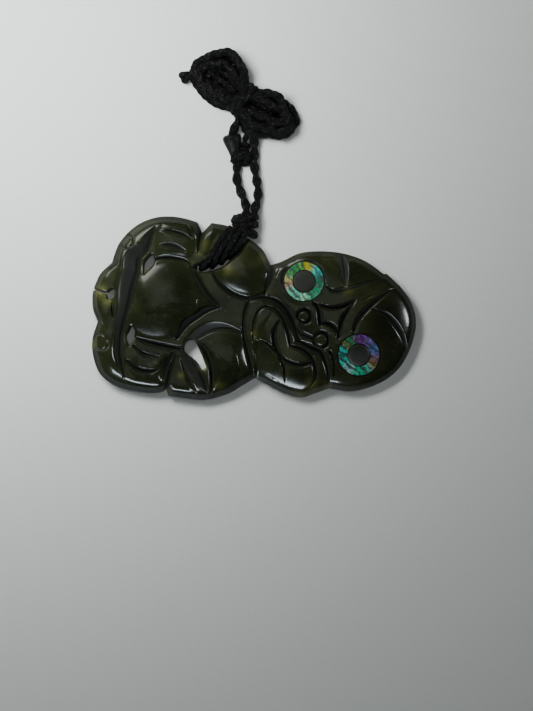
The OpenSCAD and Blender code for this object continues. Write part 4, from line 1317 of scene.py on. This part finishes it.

# %% [markdown]
# ## Greenstone
# The stone is nephrite, so dark that it looks black where it is thick. Clouds of a lighter green run
# through it, and where it is thin at an edge or a hole, the light comes through in olive. It has a high
# polish on its faces and is duller at the bottom of the cuts, where shade is also painted darker into its
# colour.

# %% Greenstone
green = Finish("greenstone_polished", Roughness=0.16, IOR=1.55, Specular_IOR_Level=0.22)
place = green.place()
thin = green.painted("thin")
depth = green.painted("depth")
drift = place + green.clouds(place, 9.0) * 6.0
cloud = green.clouds(drift, 7.0, 4.0, 0.55) * 0.6 + green.clouds(place, 17.0, 2.0) * 0.4
fleck = green.clouds(place, 1.1, 3.0, 0.6)
veins = green.clouds(place * (0.6, 1.0, 1.0), 3.2, 5.0, 0.7)
body = green.ramp(
    cloud, (0.28, (0.0035, 0.0046, 0.0022)), (0.5, (0.0115, 0.0145, 0.0058)),
    (0.72, (0.0260, 0.0300, 0.0110)))
body = green.mix(green.band(veins, 0.56, 0.72) * 0.6, body, (0.040, 0.046, 0.018))
body = green.mix(green.band(fleck, 0.60, 0.75) * 0.35, body, (0.055, 0.060, 0.028))
body = green.mix(green.painted("dense") * (0.45 + cloud), body, (0.0040, 0.0048, 0.0022))
# Painted shade: the colour is made darker in the cuts and on the forehead wedge
body = green.mix(green.band(depth, 0.15, 1.0) * 0.8, body, (0.0030, 0.0036, 0.0022))
body = green.mix(thin * green.band(cloud * 0.5 + veins * 0.5, 0.30, 0.62), body, (0.130, 0.135, 0.030))
green.wear(Base_Color=body, Roughness=0.13 + fleck * 0.10 + green.band(depth, 0.05, 0.5) * 0.5)
green.bump(veins * 0.7 + green.clouds(place, 14.0, 1.0) * 2.0, 0.06)
green.give("tiki_stone")

# %% [markdown]
# ## Shell
# The rings are cut from paua shell. It shines in greens, blues and pinks, crossed by fine dark lines, and
# each ring has been broken into fields of another colour. The colours follow the angle round the eye, with
# noise that bends their borders. The lower ring has more violet than the upper one.

# %% Shell rings
def shell_ring(name, middle, fields, seed, tint):
    """Shell whose colours follow the angle round a middle, with dark lines of growth."""
    shell = Finish(name, Roughness=0.22, Specular_IOR_Level=0.4)
    place = shell.place(middle)
    warp = shell.node("TexNoise", {"noise_dimensions": "4D"}, {
        "Vector": place, "W": float(seed), "Scale": 0.9, "Detail": 3.0}, "Color")
    bent = place + (warp - 0.5) * 1.1
    x = shell.node("SeparateXYZ", {}, {"Vector": bent}, "X")
    y = shell.node("SeparateXYZ", {}, {"Vector": bent}, "Y")
    angle = shell.node("Math", {"operation": "ARCTAN2"}, {0: y, 1: x})
    share = shell.node("Math", {"operation": "FRACT"}, {0: angle / math.tau + 1.0})
    vivid = {"Color": shell.ramp(share, *fields), "Saturation": 1.35, "Value": 0.72}
    colour = shell.node("HueSaturation", {}, vivid) * tint
    stripe = shell.node("TexWave", {"bands_direction": "DIAGONAL"}, {
        "Vector": bent, "Scale": 0.3, "Distortion": 5.0, "Detail": 3.0, "Detail Scale": 1.6})
    speck = shell.clouds(bent, 0.7, 3.0, 0.7)
    colour = shell.mix(shell.band(stripe, 0.55, 0.85) * 0.9, colour, (0.012, 0.018, 0.02))
    colour = shell.mix(shell.band(speck, 0.56, 0.70) * 0.45, colour, (0.22, 0.42, 0.34))
    colour = shell.mix(shell.band(speck, 0.50, 0.38) * 0.6, colour, (0.01, 0.02, 0.02))
    shell.wear(Base_Color=colour, Roughness=0.15 + stripe * 0.2)
    shell.bump(stripe * 0.5 + speck, 0.04)
    return shell


# The colours of each ring, by the share of a turn
upper_fields = [
    (0.0, (0.03, 0.12, 0.10)), (0.08, (0.05, 0.30, 0.38)), (0.13, (0.12, 0.42, 0.50)),
    (0.19, (0.42, 0.34, 0.10)), (0.235, (0.50, 0.30, 0.06)), (0.27, (0.16, 0.34, 0.10)),
    (0.33, (0.04, 0.20, 0.09)), (0.43, (0.12, 0.26, 0.12)), (0.48, (0.46, 0.34, 0.20)),
    (0.54, (0.44, 0.22, 0.22)), (0.60, (0.22, 0.50, 0.50)), (0.68, (0.16, 0.36, 0.36)),
    (0.75, (0.50, 0.70, 0.68)), (0.80, (0.08, 0.30, 0.22)), (0.90, (0.04, 0.22, 0.16)),
    (1.0, (0.03, 0.12, 0.10))]
lower_fields = [
    (0.0, (0.20, 0.16, 0.34)), (0.07, (0.18, 0.24, 0.50)), (0.14, (0.22, 0.16, 0.40)),
    (0.22, (0.20, 0.08, 0.30)), (0.28, (0.10, 0.05, 0.12)), (0.34, (0.06, 0.22, 0.10)),
    (0.40, (0.14, 0.10, 0.05)), (0.46, (0.06, 0.46, 0.46)), (0.51, (0.03, 0.05, 0.05)),
    (0.56, (0.08, 0.44, 0.44)), (0.65, (0.42, 0.52, 0.62)), (0.74, (0.05, 0.42, 0.26)),
    (0.80, (0.08, 0.46, 0.36)), (0.86, (0.24, 0.42, 0.42)), (0.90, (0.26, 0.16, 0.05)),
    (1.0, (0.18, 0.10, 0.22))]
upper_middle = at(*eye_places["upper"]["centre"], 5.6)
lower_middle = at(*eye_places["lower"]["centre"], 6.0)
upper_shell = shell_ring("paua_upper", upper_middle, upper_fields, 1, (0.85, 1.15, 0.75))
lower_shell = shell_ring("paua_lower", lower_middle, lower_fields, 7, (0.95, 1.1, 0.9))

# %% [markdown]
# ## Resin, cord and horn
# The rings sit in black resin. The cord is waxed thread, nearly black, with a few grey fibres. The toggle
# is dark horn with pale streaks along its length.

# %% Resin
resin = Finish("resin_black", Roughness=0.3, Specular_IOR_Level=0.3)
specks = resin.clouds(resin.place(), 0.5, 3.0, 0.6)
resin.wear(Base_Color=resin.ramp(specks, (0.4, (0.001, 0.001, 0.001)), (0.8, (0.008, 0.008, 0.007))))
resin.bump(specks, 0.03)

# %% Waxed cord
waxed = Finish("cord_waxed", Roughness=0.6, IOR=1.4, Specular_IOR_Level=0.15)
place = waxed.place()
fibre = waxed.clouds(place, 0.5, 4.0, 0.75)
tuft = waxed.clouds(place, 0.42, 2.0, 0.6)
fade = waxed.clouds(place, 4.0, 2.0, 0.5)
colour = waxed.ramp(
    tuft * 0.6 + fade * 0.4, (0.35, (0.0008, 0.0008, 0.0008)), (0.62, (0.0030, 0.0030, 0.0028)))
colour = waxed.mix(waxed.band(fibre, 0.57, 0.65), colour, (0.065, 0.064, 0.056))
waxed.wear(Base_Color=colour, Roughness=0.52 + fibre * 0.3)
waxed.bump(fibre + tuft, 0.50)
waxed.give("neck_cord", "collar_wraps", "stop_knot_wraps", "end_knot_ball")
waxed.give(*(f"lashing_{number}_plait" for number in range(1, len(lash_lines) + 1)))

# %% Horn
horn = Finish("horn_dark", Roughness=0.45, Specular_IOR_Level=0.1)
place = horn.place(at(*toggle_wide))
streak = horn.clouds(place * (1.0, 0.22, 1.0), 0.5, 4.0, 0.6)
cloudy = horn.clouds(place, 2.2, 3.0, 0.6)
colour = horn.ramp(cloudy, (0.35, (0.0015, 0.0015, 0.0014)), (0.70, (0.0080, 0.0078, 0.0070)))
colour = horn.mix(horn.band(streak, 0.55, 0.75) * 0.6, colour, (0.032, 0.030, 0.026))
horn.wear(Base_Color=colour, Roughness=0.40 + streak * 0.2)
horn.bump(streak, 0.05)
horn.give("toggle_drop")

# %% Rings and beds, which stay the model's own solids
for finish, name in ((upper_shell, "eye_ring_upper"), (lower_shell, "eye_ring_lower"),
                     (resin, "eye_bed_upper"), (resin, "eye_bed_lower")):
    nodes[name].material_slots[0].material = finish.material
print("materials:", len(bpy.data.materials))

# %% [markdown]
# ## The floor and the light
# The pendant was photographed on plain pale paper that grows darker to the bottom. A flat floor, a soft
# light low at the upper left and a weak one overhead give that. The polish of the stone also mirrors the
# room: a pale ceiling, and windows at the left and the right. Those only make highlights, so that the two
# soft lights alone set how bright the paper is.

# %% Floor
floor_half = 3.0
floor_mesh = bpy.data.meshes.new("floor")
build = bmesh.new()
bmesh.ops.create_grid(build, x_segments=1, y_segments=1, size=floor_half)
build.to_mesh(floor_mesh)
build.free()
floor = bpy.data.objects.new("floor", floor_mesh)
bpy.context.scene.collection.objects.link(floor)
paper = Finish("paper_pale", Roughness=0.9)
grain = paper.clouds(paper.place(), 0.8, 3.0, 0.6)
paper.wear(Base_Color=paper.ramp(grain, (0.3, (0.68, 0.70, 0.69)), (0.7, (0.72, 0.73, 0.71))))
paper.bump(grain, 0.01)
paper.give("floor")


# %% Lights
def soft_light(name, place, target, size, power, colour):
    """A flat light at a place in mm that looks at a target. Its name tells whether it is a mirrored one."""
    data = bpy.data.lights.new(name, "AREA")
    data.shape = "RECTANGLE"
    data.size, data.size_y = size[0] * mm, size[1] * mm
    data.energy = power
    data.color = colour
    lamp = bpy.data.objects.new(name, data)
    lamp.location = Vector(place) * mm
    lamp.rotation_euler = (Vector(target) - Vector(place)).to_track_quat("-Z", "Y").to_euler()
    lamp.visible_glossy = name in mirrored
    lamp.visible_diffuse = name not in mirrored
    bpy.context.scene.collection.objects.link(lamp)


mirrored = ("window_upper_left", "pale_ceiling", "window_low_left", "window_right")
soft_light("softbox", (-80, 76, 143), (-108, 110, 0), (90, 90), 0.66, (0.95, 1.0, 0.985))
soft_light("overhead", (20, 20, 620), (20, 20, 0), (90, 90), 0.5, (0.97, 1.0, 0.98))
soft_light("window_upper_left", (-330, 420, 330), (0, 0, 0), (420, 260), 4.5, (1.0, 0.99, 0.96))
soft_light("pale_ceiling", (-140, 150, 900), (-140, 150, 0), (480, 420), 0.42, (0.96, 1.0, 0.98))
soft_light("window_low_left", (-185, -415, 330), (0, 0, 0), (330, 90), 5.2, (0.80, 0.90, 1.0))
soft_light("window_right", (460, 60, 300), (0, 0, 0), (120, 120), 2.2, (0.92, 0.96, 1.0))

world = bpy.data.worlds.new("room")
world.use_nodes = True
background = world.node_tree.nodes["Background"]
background.inputs["Color"].default_value = (0.95, 1.0, 0.99, 1)
background.inputs["Strength"].default_value = 0.05
bpy.context.scene.world = world
print("lights:", len(bpy.data.lights))
